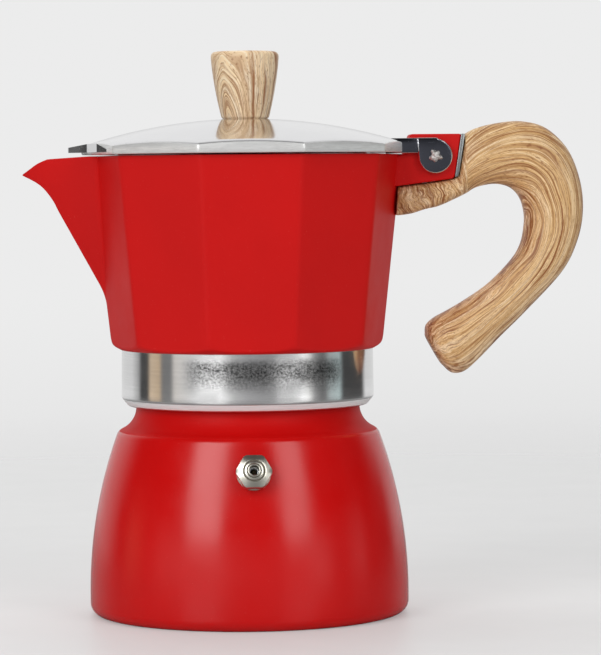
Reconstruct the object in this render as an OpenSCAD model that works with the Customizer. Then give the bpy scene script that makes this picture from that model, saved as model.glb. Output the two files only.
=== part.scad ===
// Stovetop moka pot for three cups: boiler, funnel, jug, lid and a hooked handle.
// Millimetres. Z is up, the origin is the centre of the foot, the spout points to -X,
// the handle to +X, and the safety valve faces -Y.

/* [Boiler] */
// Widest diameter, low on the bell
base_d = 90; // [84:1:100]
// Height at which the bell is widest
belly_z = 6; // [5:0.5:8]
// Rounding between the foot and the bell
foot_round = 3.5; // [2:0.5:5]
// Diameter of the shoulder at the top of the bell
shoulder_d = 74; // [72:1:78]
// Rounding of the shoulder
shoulder_round = 3; // [2:0.5:4]
// Diameter of the neck below its thread
neck_d = 64; // [63:0.5:66]
// Height of the neck's rim
boiler_h = 74; // [64:1:84]
// Length of the neck from the shoulder up to its rim
neck_h = 22.5; // [20:0.5:26]
// Wall of the bell
boiler_wall = 3; // [2.5:0.25:4]
// Thickness of the floor
boiler_floor = 4; // [3:0.5:6]
// Diameter of the mouth
mouth_d = 56; // [52:1:57]
// Width of the step in the rim that carries the funnel
rim_step_w = 1.6; // [1:0.1:1.8]
// Depth of that step
rim_step_depth = 1; // [0.9:0.1:2]

/* [Thread] */
// Pitch of the thread between boiler and jug
thread_pitch = 3; // [2:0.5:4]
// Depth of the thread
thread_depth = 0.8; // [0.5:0.1:1]
// Radial gap between the crests of the two threads
thread_gap = 0.3; // [0.25:0.05:0.5]

/* [Safety valve] */
// Distance of the valve's centre below the shoulder
valve_drop = 7.5; // [6:0.5:20]
// Width of the hexagon across its flats
valve_hex = 9; // [8:0.5:11]
// Height of the hexagon
valve_hex_h = 3.6; // [2.5:0.1:5]
// Diameter of the threaded shank through the wall
valve_shank_d = 6.8; // [6:0.1:8]
// Diameter of the boss on the hexagon's face
valve_boss_d = 5.4; // [5:0.1:7]
// Height of that boss
valve_boss_h = 0.9; // [0.5:0.1:2]
// Bore that holds the spring and the poppet
valve_bore_d = 3.9; // [3.6:0.1:4.2]
// Steam hole at both ends of the bore
valve_hole_d = 2.4; // [1.6:0.1:2.6]
// Lift of the poppet
valve_lift = 1; // [0.5:0.1:1.5]
// Diameter of the washer under the hexagon
washer_d = 10.3; // [9.5:0.1:12]
// Thickness of that washer
washer_t = 1; // [0.6:0.1:1.5]
// Wire of the valve spring
spring_wire = 0.5; // [0.3:0.05:0.6]
// Turns of the valve spring
spring_turns = 6; // [4:1:8]

/* [Funnel] */
// Height of the basket's wall below its flange
basket_h = 17; // [12:1:20]
// Wall of the funnel's sheet
funnel_wall = 0.8; // [0.6:0.1:1.2]
// Radial gap between basket and mouth
funnel_gap = 0.4; // [0.3:0.05:0.8]
// Height of the funnel's cone
cone_h = 8; // [6:1:12]
// Length of the cone's neck that carries the stem
cone_neck_h = 4; // [3:0.5:6]
// Outer diameter of the stem
stem_d = 9; // [7:0.5:12]
// Gap between the stem's end and the boiler's floor
stem_gap = 5; // [3:0.5:10]
// Thickness of the funnel's perforated disc
screen_t = 0.8; // [0.5:0.1:1.2]
// Holes across half of each perforated disc
hole_rings = 5; // [3:1:6]
// Diameter of the holes in both discs
screen_hole_d = 1.4; // [1:0.1:2]

/* [Seal] */
// Thickness of the rubber gasket
gasket_t = 3; // [2:0.25:4]
// Inner diameter of the gasket
gasket_id = 51; // [48:0.5:53]
// Radial gap around the gasket
gasket_gap = 0.3; // [0.3:0.05:0.5]
// Diameter of the filter plate
plate_d = 57; // [54:0.5:59]
// Thickness of the filter plate
plate_t = 0.8; // [0.5:0.1:1.2]

/* [Threaded collar] */
// Outer diameter of the bare metal collar
collar_d = 72.2; // [71:0.2:74]
// Height of the collar
collar_h = 15.5; // [13:0.5:18]
// Bevel at the collar's lower edge
collar_bevel = 1.4; // [0.5:0.1:2]

/* [Jug] */
// Number of flat sides of jug and lid
sides = 10; // [8:2:12]
// Corner radius of the jug where its sides begin
jug_low_r = 38.8; // [38:0.1:40]
// Corner radius of the jug at its rim
jug_rim_r = 44.6; // [43:0.1:46]
// Height of the jug above the collar
jug_h = 55.2; // [50:0.5:60]
// Wall of the jug
jug_wall = 2.6; // [2:0.1:3]
// Thickness of the jug's floor
jug_floor = 3.5; // [3:0.25:5]
// Depth of the space between filter plate and floor
sump_depth = 1.7; // [1:0.1:3]
// Height of the rounded chamfer under the jug's sides
jug_chamfer = 3.5; // [2:0.25:5]

/* [Spout] */
// Reach of the spout's tip from the axis
spout_reach = 63.7; // [58:0.1:66]
// Half angle of the spout seen from above
spout_angle = 19; // [15:1:24]
// Wall of the spout
spout_wall = 1.8; // [1.4:0.1:2.4]

/* [Riser column] */
// Height of the column above the jug's floor
column_h = 36; // [28:1:38]
// Outer diameter at the column's foot
column_low_d = 15; // [13:0.5:18]
// Outer diameter at the column's top
column_top_d = 10; // [9:0.5:12]
// Bore of the column
column_bore_d = 6; // [5:0.5:7]
// Height of the two side outlets
outlet_h = 6; // [4:0.5:8]

/* [Lid] */
// Overhang of the lid beyond the jug's rim
lid_overhang = 1.9; // [1:0.1:3]
// Gap between the jug's rim and the lid
lid_gap = 0.3; // [0.2:0.05:0.5]
// Height of the lid's upright edge at its corners
lid_edge_h = 2.5; // [2:0.1:4]
// Radius of the lid's dome
dome_r = 148; // [130:1:170]
// Thickness of the lid
lid_wall = 1.6; // [1.2:0.1:2.5]
// Diameter of the flat land under the knob
land_d = 11; // [8:0.5:13]
// Length of the tab over the spout beyond the lid's corner
tab_reach = 4.2; // [3:0.1:6]
// Half width of that tab
tab_half_w = 7; // [5:0.5:9]

/* [Knob] */
// Diameter of the knob at its top
knob_top_d = 19.4; // [16:0.2:24]
// Diameter of the knob above its foot bevel
knob_low_d = 13.8; // [12:0.2:18]
// Height of the knob
knob_h = 19.4; // [16:0.2:26]
// Rounding of the knob's top edge
knob_round = 1.6; // [1:0.1:3]
// Bevel at the knob's foot
knob_bevel = 0.8; // [0.4:0.1:1.5]
// Outer diameter of the knob's brass insert
insert_d = 6.4; // [6:0.2:8]
// Length of that insert
insert_h = 10; // [8:0.5:13]

/* [Fasteners] */
// Shank diameter of the knob screw and the handle screw
screw_d = 4; // [3:0.5:5]
// Head diameter of both screws
screw_head_d = 7.4; // [6:0.2:9]
// Head height of both screws
screw_head_h = 2.4; // [2:0.1:3]
// Diameter of the washer under the knob screw
knob_washer_d = 10; // [9:0.5:14]
// Thickness of that washer
knob_washer_t = 0.8; // [0.5:0.1:1.2]

/* [Hinge] */
// Distance of the hinge pin outward of the jug's rim
hinge_out = 9.2; // [8.4:0.1:10.4]
// Height of the hinge pin above the jug's rim
hinge_up = -0.7; // [-1:0.1:0.2]
// Diameter of the hinge pin
pin_d = 3; // [2:0.1:3.6]
// Diameter of the pin's heads
pin_head_d = 4.4; // [4:0.1:6]
// Height of the pin's heads
pin_head_h = 0.9; // [0.5:0.1:1.5]
// Radius of the lid's ears
ear_r = 4.9; // [4.5:0.1:5.2]
// Thickness of one ear
ear_t = 2; // [1.5:0.1:3]
// Width of the jug's hinge boss
boss_w = 11; // [9:0.5:14]
// Gap between the boss and an ear
ear_gap = 0.3; // [0.2:0.05:0.6]
// Radial running gap around the pin
pin_gap = 0.06; // [0.02:0.01:0.1]

/* [Handle] */
// Width of the handle across its sides
handle_w = 18; // [14:0.5:22]
// Thickness of the spacer between boss and handle
spacer_t = 1.1; // [0.8:0.1:1.6]
// Length of the boss's tang inside the handle
tang_l = 9; // [6:0.5:12]
// Width of that tang
tang_w = 5; // [4:0.25:7]
// Height of that tang
tang_h = 7; // [5:0.5:8]
// Distance of the handle screw inward of the hinge pin
handle_screw_in = 2.8; // [2:0.1:4]

/* [Hidden] */
$fn = 72;
eps = 0.01;
cut = 50;                                   // length of a cut that runs out of the solid
red = "#c51512";
bare = "#c9cacc";
wood = "#cfa777";

// Boiler: the bell is one arc, upright where it is widest
base_r = base_d / 2;
shoulder_r = shoulder_d / 2;
shoulder_z = boiler_h - neck_h;
neck_r = neck_d / 2;
mouth_r = mouth_d / 2;
bell_r = (pow(base_r - shoulder_r, 2) + pow(shoulder_z - belly_z, 2))
    / (2 * (base_r - shoulder_r));
bell_steps = 14;
shoulder_tilt = asin((shoulder_z - belly_z) / bell_r);
shoulder_end = 65;                          // tilt at which the shoulder turns into the flare
shoulder_cx = shoulder_r - shoulder_round * cos(shoulder_tilt);
shoulder_cz = shoulder_z - shoulder_round * sin(shoulder_tilt);
flare_x = shoulder_cx + shoulder_round * cos(shoulder_end);
flare_z = shoulder_cz + shoulder_round * sin(shoulder_end);
flare_round = (flare_x - neck_r) / (1 - cos(shoulder_end));
neck_z = flare_z + flare_round * sin(shoulder_end);
inner_fillet = 4;
rim_chamfer = 0.5;

// Thread: plain rings whose crests pass each other
thread_z = boiler_h - 11;                   // lowest ring on the neck
thread_turns = floor((boiler_h - 1 - thread_z) / thread_pitch);
crest_r = neck_r;
root_r = crest_r - thread_depth;
collar_crest_r = crest_r + thread_gap;
collar_root_r = collar_crest_r + thread_depth;

// Safety valve: w runs outward along the wall's normal, from the wall's outer face
valve_z = shoulder_z - valve_drop;
valve_r = base_r - bell_r + sqrt(pow(bell_r, 2) - pow(valve_z - belly_z, 2));
valve_tilt = asin((valve_z - belly_z) / bell_r);
spot_depth = 0.4;
spot_gap = 0.3;                             // margin of the spot face around the washer
boss_depth = 6.5;                           // inner end of the boiler's boss
shank_past = 1;                             // shank beyond that boss
hex_w = washer_t - spot_depth;
hex_top_w = hex_w + valve_hex_h;
valve_top_w = hex_top_w + valve_boss_h;
valve_low_w = -boss_depth - shank_past;
seat_w = valve_low_w + 1.6;
retainer_t = 1.5;
retainer_gap = 0.02;
retainer_w = valve_top_w - retainer_t;
poppet_gap = 0.05;
poppet_head_h = 1.6;
poppet_r = valve_bore_d / 2 - 0.25;
spring_w = seat_w + poppet_gap + poppet_head_h + eps;
spring_r = valve_bore_d / 2 - 0.3 - spring_wire / 2;

// Stack on the boiler's rim
ledge_z = boiler_h - rim_step_depth;
flange_t = rim_step_depth - 0.1;
flange_r = mouth_r + rim_step_w - 0.2;
basket_r = mouth_r - funnel_gap;
basket_z = ledge_z - basket_h;
cone_z = basket_z - cone_h;
stem_top = cone_z - cone_neck_h;
stem_r = stem_d / 2;
stem_z = boiler_floor + stem_gap;
screen_ledge = 1;                           // width of the ledge under the perforated disc
screen_r = basket_r - funnel_wall - 0.05;
gasket_r = crest_r - 0.3;
gasket_top = boiler_h + gasket_t;
plate_r = plate_d / 2;
plate_top = gasket_top + plate_t;
seat_gap = 0.1;                             // play of the filter plate under its seat

// Collar and jug
collar_r = collar_d / 2;
collar_top = boiler_h + 2;
collar_z = collar_top - collar_h;
collar_chamfer = 0.4;
jug_top = collar_top + jug_h;
side_z = collar_top + jug_chamfer;
sump_top = plate_top + seat_gap + sump_depth;
sump_r = plate_r - 3;
floor_z = sump_top + jug_floor;
flat = cos(180 / sides);                    // a side's distance over its corner's
jug_slope = (jug_rim_r - jug_low_r) / (jug_top - side_z);
function jug_corner(z) = jug_low_r + jug_slope * (z - side_z);

// Spout: a V whose keel starts on the jug's corner and curls forward at the tip
keel_start = 0.27;                          // share of the jug's height where the keel starts
keel_low = [jug_corner(collar_top + keel_start * jug_h), collar_top + keel_start * jug_h];
keel_high = [spout_reach - 9.9, jug_top - 15.2];
tip = [spout_reach, jug_top - 5.4];
keel_curl = [
    keel_high,
    [spout_reach - 8.5, jug_top - 12.4],
    [spout_reach - 5.8, jug_top - 8.9],
    [spout_reach - 3.1, jug_top - 6.9],
    tip
];
keel_steps = 5;
keel = concat(
    [for (i = [-1 : keel_steps - 1]) keel_low + (keel_high - keel_low) * i / keel_steps],
    keel_curl
);
lip_rise = [[7, 0.7], [4.2, 1.9], [1.8, 3.6], [0, 5.2]];   // [distance from tip, below rim]
tip_half_w = 0.6;
keel_thicken = 1.6;                         // keel's thickness over the spout's wall
section_above = 3;                          // the V-sections run on above the rim

// Riser column
column_top = floor_z + column_h;
spigot_r = column_low_d / 2 - 1.5;
column_dome = 2.5;
outlet_top = column_top - column_dome - 1.5;

// Lid
lid_r = jug_rim_r + lid_overhang;
lid_z = jug_top + lid_gap;
lid_corner_z = lid_z + lid_edge_h;
dome_z = lid_corner_z - sqrt(pow(dome_r, 2) - pow(lid_r, 2));
land_z = dome_z + sqrt(pow(dome_r, 2) - pow(land_d / 2, 2));
knob_z = land_z;
knob_top = knob_z + knob_h;
lid_inner_top = land_z - lid_wall;
seam_turn = 120 / sides;                    // keeps the sphere's seam off the lid's corners
tab_z = lid_z + 0.9;
tab_t = 1.6;

// Hinge
hinge_x = jug_rim_r + hinge_out;
hinge_z = jug_top + hinge_up;
boss_top = jug_top + 5.6;
boss_front = hinge_x - 6.9;
boss_back = hinge_x + 7.6;
boss_back_low = boss_back - 1.6;
boss_low = hinge_z - 6.5;
boss_under = boss_low - 2.2;                // underside of the boss at the jug's wall
boss_round = 1.5;
ear_y = boss_w / 2 + ear_gap;
ear_top = hinge_z + ear_r + 0.3;
lid_back = hinge_x - 9.8;                   // the lid's edge between its ears
pin_r = pin_d / 2;
pin_half = ear_y + ear_t;

// Handle screw: its head sits in a counterbore in the prong and its tip stops under the pin
handle_screw_x = hinge_x - handle_screw_in;
screw_seat_z = boss_under - 4.5;
screw_tip_z = hinge_z - pin_r - 2;

// Handle: ribs from its inner to its outer edge, [[x, z], [x, z], share of the width],
// from the prong under the boss, up its butt, over the arch and down to the tip.
// x counts from the hinge pin, z from the jug's rim.
prong_gap = 0.8;                            // between the prong's end and the jug's corner
function prong_x(drop) = jug_corner(jug_top - drop) + prong_gap - hinge_x;
handle_ribs = [
    [[prong_x(16.6), -16.6], [prong_x(10.6), -10.6], 0.5],
    [[prong_x(18) + 1.3, -18.0], [prong_x(9.4) + 1.1, -9.4], 0.62],
    [[-5.0, -17.5], [-4.6, -8.9], 0.66],
    [[1.4, -15.6], [1.6, -8.0], 0.7],
    [[5.6, -13.6], [5.7, -6.9], 0.74],
    [[8.4, -12.2], [7.4, -5.4], 0.76],
    [[9.6, -11.6], [8.8, 5.4], 0.78],
    [[12.4, -10.0], [11.8, 7.0], 0.84],
    [[17.2, -8.8], [17.6, 8.5], 0.9],
    [[21.0, -9.4], [25.4, 9.1], 0.95],
    [[23.5, -11.0], [32.6, 7.0], 1],
    [[25.2, -13.6], [38.8, 0.8], 1],
    [[26.1, -17.2], [42.2, -8.0], 1],
    [[26.1, -20.7], [43.0, -16.8], 1],
    [[25.1, -25.8], [41.3, -25.4], 1],
    [[22.5, -30.4], [36.8, -34.2], 1],
    [[16.2, -36.9], [26.4, -45.3], 1],
    [[9.7, -41.5], [19.0, -52.5], 1],
    [[3.7, -45.0], [12.6, -59.0], 1],
    [[-0.2, -47.1], [8.4, -62.5], 0.97],
    [[-2.4, -49.2], [4.9, -62.9], 0.86],
    [[-2.7, -51.8], [2.4, -60.8], 0.62]
];
smooth_from = 7;                            // ribs before this one keep their corners
rib_steps = 3;
ring_sides = 16;
ring_power = 0.82;                          // below 1 the section is fuller than an ellipse

module ring_profile(inner, outer, low, high) {
    rotate_extrude() polygon([[inner, low], [outer, low], [outer, high], [inner, high]]);
}

// Places children on the valve's axis, with +Z pointing out of the boiler
module on_valve_axis() {
    translate([0, -valve_r, valve_z]) rotate([90 - valve_tilt, 0, 0]) children();
}

// ---------------------------------------------------------------- boiler
function bell_at(z) = base_r - bell_r + sqrt(pow(bell_r, 2) - pow(z - belly_z, 2));

function arc(cx, cz, r, from, to, steps) = [
    for (i = [0 : steps]) let (a = from + (to - from) * i / steps)
        [cx + r * cos(a), cz + r * sin(a)]
];

// One thread ring on a shaft of radius root: its four corners, going up
function thread_ring(root, crest, z, pitch) = [
    [root, z],
    [crest, z + 0.3 * pitch],
    [crest, z + 0.55 * pitch],
    [root, z + 0.85 * pitch]
];

function boiler_outside() = concat(
    arc(base_r - foot_round, foot_round, foot_round, -90, 0, 5),
    [for (i = [0 : bell_steps]) let (z = belly_z + (shoulder_z - belly_z) * i / bell_steps)
        [bell_at(z), z]],
    arc(shoulder_cx, shoulder_cz, shoulder_round, shoulder_tilt + 9, shoulder_end, 4),
    arc(neck_r + flare_round, neck_z, flare_round, 180 + shoulder_end - 10, 180, 5),
    [[neck_r, thread_z - 1], [root_r, thread_z - 0.4]],
    [for (k = [0 : thread_turns - 1])
        each thread_ring(root_r, crest_r, thread_z + k * thread_pitch, thread_pitch)],
    [[root_r, boiler_h - rim_chamfer], [root_r - rim_chamfer, boiler_h]]
);

function boiler_inside() = concat(
    [[0, boiler_floor]],
    arc(bell_at(boiler_floor + inner_fillet) - boiler_wall - inner_fillet,
        boiler_floor + inner_fillet, inner_fillet, -90, 0, 5),
    [for (i = [2 : bell_steps - 1])
        let (z = belly_z + (shoulder_z - belly_z) * i / bell_steps)
            if (z > boiler_floor + inner_fillet + 1) [bell_at(z) - boiler_wall, z]],
    [[mouth_r, neck_z - 2], [mouth_r, ledge_z], [mouth_r + rim_step_w, ledge_z],
     [mouth_r + rim_step_w, boiler_h + 1], [0, boiler_h + 1]]
);

module boiler() {
    color(red) difference() {
        union() {
            rotate_extrude() difference() {
                polygon(concat([[0, 0]], boiler_outside(), [[0, boiler_h]]));
                polygon(boiler_inside());
            }
            on_valve_axis() translate([0, 0, -boss_depth])
                cylinder(r = valve_shank_d / 2 + 3, h = boss_depth - boiler_wall / 2);
        }
        on_valve_axis() {
            translate([0, 0, -boss_depth - 1]) cylinder(d = valve_shank_d, h = cut);
            translate([0, 0, -spot_depth]) cylinder(r = washer_d / 2 + spot_gap, h = cut);
        }
    }
}

// ---------------------------------------------------------------- safety valve
module valve_washer() {
    color("#b9b5ab") on_valve_axis() difference() {
        translate([0, 0, -spot_depth]) cylinder(d = washer_d, h = washer_t);
        translate([0, 0, -1]) cylinder(d = valve_shank_d, h = 3);
    }
}

module valve_body() {
    corner_r = valve_hex / 2 / cos(30);
    color("#c3beb2") on_valve_axis() difference() {
        union() {
            intersection() {
                translate([0, 0, hex_w]) cylinder(r = corner_r, h = valve_hex_h, $fn = 6);
                rotate_extrude() polygon([
                    [0, hex_w], [corner_r - 0.2, hex_w], [corner_r, hex_w + 0.2],
                    [corner_r, hex_top_w - 0.4], [corner_r - 0.8, hex_top_w], [0, hex_top_w]
                ]);
            }
            translate([0, 0, valve_low_w]) cylinder(d = valve_shank_d, h = hex_w - valve_low_w);
            translate([0, 0, hex_top_w - 1]) cylinder(d = valve_boss_d, h = valve_boss_h + 1);
        }
        translate([0, 0, valve_low_w - 1]) cylinder(d = valve_hole_d, h = cut);
        translate([0, 0, seat_w]) cylinder(d = valve_bore_d, h = cut);
    }
}

module valve_poppet() {
    color("#caa94f") on_valve_axis() rotate_extrude() polygon([
        [0, seat_w - 1], [valve_hole_d / 2 - 0.15, seat_w - 1],
        [valve_hole_d / 2 - 0.15, seat_w + poppet_gap], [poppet_r, seat_w + poppet_gap],
        [poppet_r, seat_w + poppet_gap + poppet_head_h],
        [0.6, seat_w + poppet_gap + poppet_head_h], [0.6, retainer_w - valve_lift - 0.5],
        [0, retainer_w - valve_lift - 0.5]
    ]);
}

function coil_ring(i, steps, low, high) = let (
    turn = 360 * spring_turns * i / steps,
    z = low + (high - low) * i / steps
) [for (k = [0 : 5]) let (r = spring_r + spring_wire / 2 * cos(60 * k))
    [r * cos(turn), r * sin(turn), z + spring_wire / 2 * sin(60 * k)]];

// Faces of a tube of rings, closed at both ends
function tube_faces(rings, n) = concat(
    [[for (k = [0 : n - 1]) k]],
    [for (i = [0 : rings - 2], k = [0 : n - 1])
        each [[i * n + k, (i + 1) * n + (k + 1) % n, i * n + (k + 1) % n],
              [i * n + k, (i + 1) * n + k, (i + 1) * n + (k + 1) % n]]],
    [[for (k = [0 : n - 1]) rings * n - 1 - k]]
);

module valve_spring() {
    steps = 14 * spring_turns;
    low = spring_w + spring_wire / 2;
    high = retainer_w - spring_wire / 2 - eps;
    color("#d0d2d4") on_valve_axis() polyhedron(
        [for (i = [0 : steps]) each coil_ring(i, steps, low, high)],
        tube_faces(steps + 1, 6)
    );
}

module valve_retainer() {
    color("#b1ada2") on_valve_axis() difference() {
        translate([0, 0, retainer_w])
            cylinder(r = valve_bore_d / 2 - retainer_gap, h = retainer_t);
        cylinder(d = valve_hole_d, h = cut, center = true);
    }
}

// ---------------------------------------------------------------- funnel
module funnel() {
    inner = basket_r - funnel_wall;
    color(bare) rotate_extrude() polygon([
        [flange_r, ledge_z], [flange_r, ledge_z + flange_t], [inner, ledge_z + flange_t],
        [inner, basket_z], [inner - screen_ledge, basket_z], [inner - screen_ledge, basket_z - 0.8],
        [stem_r - funnel_wall, cone_z], [stem_r - funnel_wall, stem_top], [stem_r, stem_top],
        [stem_r, cone_z - 0.6], [basket_r, basket_z - 1.4], [basket_r, ledge_z]
    ]);
}

// The stem is a tube of its own with a bead under the cone's neck
module funnel_stem() {
    bead = 0.5;
    color(bare) rotate_extrude() polygon([
        [stem_r - funnel_wall, stem_z], [stem_r, stem_z], [stem_r, stem_top - 4 * bead],
        [stem_r + bead, stem_top - 3 * bead], [stem_r + bead, stem_top - bead],
        [stem_r, stem_top], [stem_r - funnel_wall, stem_top]
    ]);
}

// A disc with concentric rings of holes, out to the given radius
module perforated_disc(r, t, reach) {
    pitch = reach / hole_rings;
    difference() {
        cylinder(r = r, h = t);
        for (ring = [1 : hole_rings], k = [0 : 6 * ring - 1])
            rotate(60 * k / ring) translate([ring * pitch, 0, -1])
                cylinder(d = screen_hole_d, h = t + 2, $fn = 16);
    }
}

module funnel_screen() {
    color("#d4d5d6") translate([0, 0, basket_z])
        perforated_disc(screen_r, screen_t, screen_r - 3.5);
}

// ---------------------------------------------------------------- seal
module gasket() {
    color("#e9e6df") ring_profile(gasket_id / 2, gasket_r, boiler_h, gasket_top);
}

module filter_plate() {
    color("#d4d5d6") translate([0, 0, gasket_top])
        perforated_disc(plate_r, plate_t, gasket_id / 2 - 2.5);
}

// ---------------------------------------------------------------- collar and jug
module threaded_collar() {
    low = collar_z + collar_bevel;
    color(bare) rotate_extrude() polygon(concat(
        [[collar_root_r, collar_top], [collar_r - collar_chamfer, collar_top],
         [collar_r, collar_top - collar_chamfer], [collar_r, low],
         [collar_r - collar_bevel, collar_z], [collar_root_r, collar_z]],
        [for (k = [0 : thread_turns - 1])
            each thread_ring(collar_root_r, collar_crest_r,
                thread_z + (k + 0.5) * thread_pitch, thread_pitch)]
    ));
}

// A solid with the jug's flat sides from one height to another, its corner on +X
module faceted(r_low, r_high, low, high) {
    translate([0, 0, low]) cylinder(r1 = r_low, r2 = r_high, h = high - low, $fn = sides);
}

// Limits the jug's foot to the collar's radius, with a rounded chamfer
module jug_foot_limit() {
    rotate_extrude() polygon(concat(
        [[0, collar_top], [collar_r - 0.2, collar_top]],
        arc(collar_r - 0.6, side_z + 0.3, jug_chamfer, -62, -12, 4),
        [[jug_rim_r + 1, side_z + 4], [jug_rim_r + 1, jug_top], [0, jug_top]]
    ));
}

// One V-section of the spout at a point of its keel, shrunk inward by a wall
function spout_section(p, wall) = let (
    half = (spout_reach - p[0]) * tan(spout_angle) + tip_half_w - wall,
    low = p[1] + wall * keel_thicken,
    top = jug_top + section_above
) [[-p[0], half, top], [-p[0], 0, low], [-p[0], -half, top]];

module spout_wedge(wall, sections) {
    polyhedron(
        [for (i = [0 : sections - 1]) each spout_section(keel[i], wall)],
        tube_faces(sections, 3)
    );
}

// What the lip leaves standing, seen from the side
module lip_limit() {
    rotate([90, 0, 0]) linear_extrude(height = cut, center = true) polygon(concat(
        [[0, collar_top], [0, jug_top]],
        [for (p = lip_rise) [p[0] - spout_reach, jug_top - p[1]]],
        [[-spout_reach - 1, tip[1] - 0.8], [-spout_reach - 1, collar_top]]
    ));
}

module hinge_boss_outline() {
    polygon([
        [jug_corner(boss_under) - 2, boss_under], [boss_back_low - boss_round, boss_low - 0.1],
        [boss_back_low, boss_low + boss_round], [boss_back, boss_top],
        [boss_front, boss_top], [boss_front - 1.4, jug_top],
        [jug_rim_r - 1.6, jug_top - 0.4]
    ]);
}

module jug() {
    color(red) difference() {
        union() {
            intersection() {
                faceted(jug_corner(collar_top), jug_rim_r, collar_top, jug_top);
                jug_foot_limit();
            }
            intersection() {
                spout_wedge(0, len(keel));
                lip_limit();
            }
            rotate([90, 0, 0]) linear_extrude(height = boss_w, center = true)
                hinge_boss_outline();
            translate([boss_back_low - 1, -tang_w / 2, hinge_z - tang_h / 2])
                cube([tang_l + spacer_t + 2, tang_w, tang_h]);
        }
        // the faceted inside
        faceted(jug_corner(floor_z) - jug_wall / flat, jug_rim_r - jug_wall / flat,
            floor_z, jug_top + eps);
        intersection() {
            spout_wedge(spout_wall, len(keel) - 2);
            translate([-cut - jug_low_r, -cut / 2, floor_z + 2]) cube([cut + 4, cut, cut * 2]);
        }
        // seat of the gasket, seat of the filter plate and the sump above it
        translate([0, 0, collar_top - 1])
            cylinder(r = gasket_r + gasket_gap, h = gasket_top - collar_top + 1);
        cylinder(r = plate_r + seat_gap, h = plate_top + seat_gap);
        cylinder(r = sump_r, h = sump_top);
        cylinder(r = spigot_r, h = floor_z + 1);
        // hinge pin and handle screw
        translate([hinge_x, 0, hinge_z]) rotate([90, 0, 0])
            cylinder(r = pin_r + pin_gap, h = cut, center = true);
        translate([handle_screw_x, 0, screw_seat_z])
            cylinder(d = screw_d, h = screw_tip_z + 0.5 - screw_seat_z);
    }
}

module riser_column() {
    color(bare) difference() {
        rotate_extrude() polygon([
            [0, sump_top], [spigot_r, sump_top], [spigot_r, floor_z],
            [column_low_d / 2, floor_z], [column_low_d / 2, floor_z + 2],
            [column_top_d / 2, column_top - column_dome],
            [column_top_d / 2 - 0.8, column_top - 0.8],
            [column_top_d / 2 - 2.4, column_top], [0, column_top]
        ]);
        cylinder(d = column_bore_d, h = outlet_top);
        translate([-column_low_d, -column_bore_d * 0.3, outlet_top - outlet_h])
            cube([column_low_d * 2, column_bore_d * 0.6, outlet_h]);
    }
}

// ---------------------------------------------------------------- lid
module lid_shell(r, drop, low) {
    intersection() {
        translate([0, 0, low]) cylinder(r = r, h = cut, $fn = sides);
        difference() {
            translate([0, 0, dome_z]) rotate(seam_turn) sphere(r = dome_r - drop);
            translate([-cut * 4, -cut * 4, -cut * 8]) cube([cut * 8, cut * 8, cut * 8 + low]);
        }
    }
}

module ear_outline() {
    translate([hinge_x, hinge_z]) circle(r = ear_r);
    translate([lid_back - 3, lid_z + 0.4]) square([hinge_x - lid_back + 3, ear_top - lid_z - 0.4]);
}

// The block around the notch that takes the boss and the ears
module notch_block(margin) {
    half = ear_y + ear_t + margin;
    translate([lid_back - margin, -half, lid_z - cut / 2]) cube([cut, 2 * half, cut]);
}

module lid() {
    tab_x = lid_r + tab_reach;
    color("#dcdde0") difference() {
        union() {
            difference() {
                lid_shell(lid_r, 0, lid_z);
                difference() {
                    lid_shell(lid_r - lid_wall / flat, lid_wall, lid_z - 1);
                    notch_block(lid_wall);
                }
                notch_block(0);
                translate([0, 0, land_z]) cylinder(d = cut, h = cut);
            }
            // tab over the spout
            translate([0, 0, tab_z]) linear_extrude(height = tab_t) polygon([
                [-lid_r + 4, -tab_half_w], [-lid_r + 0.5, -tab_half_w],
                [-tab_x, -tab_half_w * 0.36], [-tab_x, tab_half_w * 0.36],
                [-lid_r + 0.5, tab_half_w], [-lid_r + 4, tab_half_w]
            ]);
            for (side = [-1, 1]) translate([0, side * (ear_y + ear_t / 2), 0])
                rotate([90, 0, 0]) linear_extrude(height = ear_t, center = true) ear_outline();
        }
        translate([hinge_x, 0, hinge_z]) rotate([90, 0, 0])
            cylinder(r = pin_r, h = cut, center = true);
        cylinder(d = screw_d + 0.4, h = cut * 4);
    }
}

module lid_knob() {
    low_r = knob_low_d / 2;
    top_r = knob_top_d / 2;
    color(wood) difference() {
        rotate_extrude() polygon(concat(
            [[0, knob_z], [low_r - knob_bevel, knob_z], [low_r, knob_z + knob_bevel]],
            arc(top_r - knob_round, knob_top - knob_round, knob_round, -8, 90, 6),
            [[0, knob_top]]
        ));
        translate([0, 0, knob_z - 1]) cylinder(d = insert_d, h = insert_h + 1);
    }
}

module knob_insert() {
    color("#c8a24a") translate([0, 0, knob_z]) difference() {
        cylinder(d = insert_d, h = insert_h);
        translate([0, 0, -1]) cylinder(d = screw_d, h = insert_h);
    }
}

// A pan-head screw with a cross slot, its head below the origin and its shank up
module pan_screw(length) {
    slot = screw_d * 0.25;
    difference() {
        rotate_extrude() polygon([
            [0, -screw_head_h], [screw_head_d / 2 - 0.8, -screw_head_h],
            [screw_head_d / 2, -screw_head_h + 0.9], [screw_head_d / 2, 0],
            [screw_d / 2, 0], [screw_d / 2, length], [0, length]
        ]);
        for (a = [0, 90]) rotate(a) translate([0, 0, -screw_head_h])
            cube([screw_d, slot, 2.4], center = true);
    }
}

module knob_washer() {
    color("#c9cacc") translate([0, 0, lid_inner_top - knob_washer_t]) difference() {
        cylinder(d = knob_washer_d, h = knob_washer_t);
        translate([0, 0, -1]) cylinder(d = screw_d + 0.3, h = 3);
    }
}

module knob_screw() {
    color("#b9bbbe") translate([0, 0, lid_inner_top - knob_washer_t])
        pan_screw(knob_washer_t + lid_wall + insert_h - 2);
}

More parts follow.
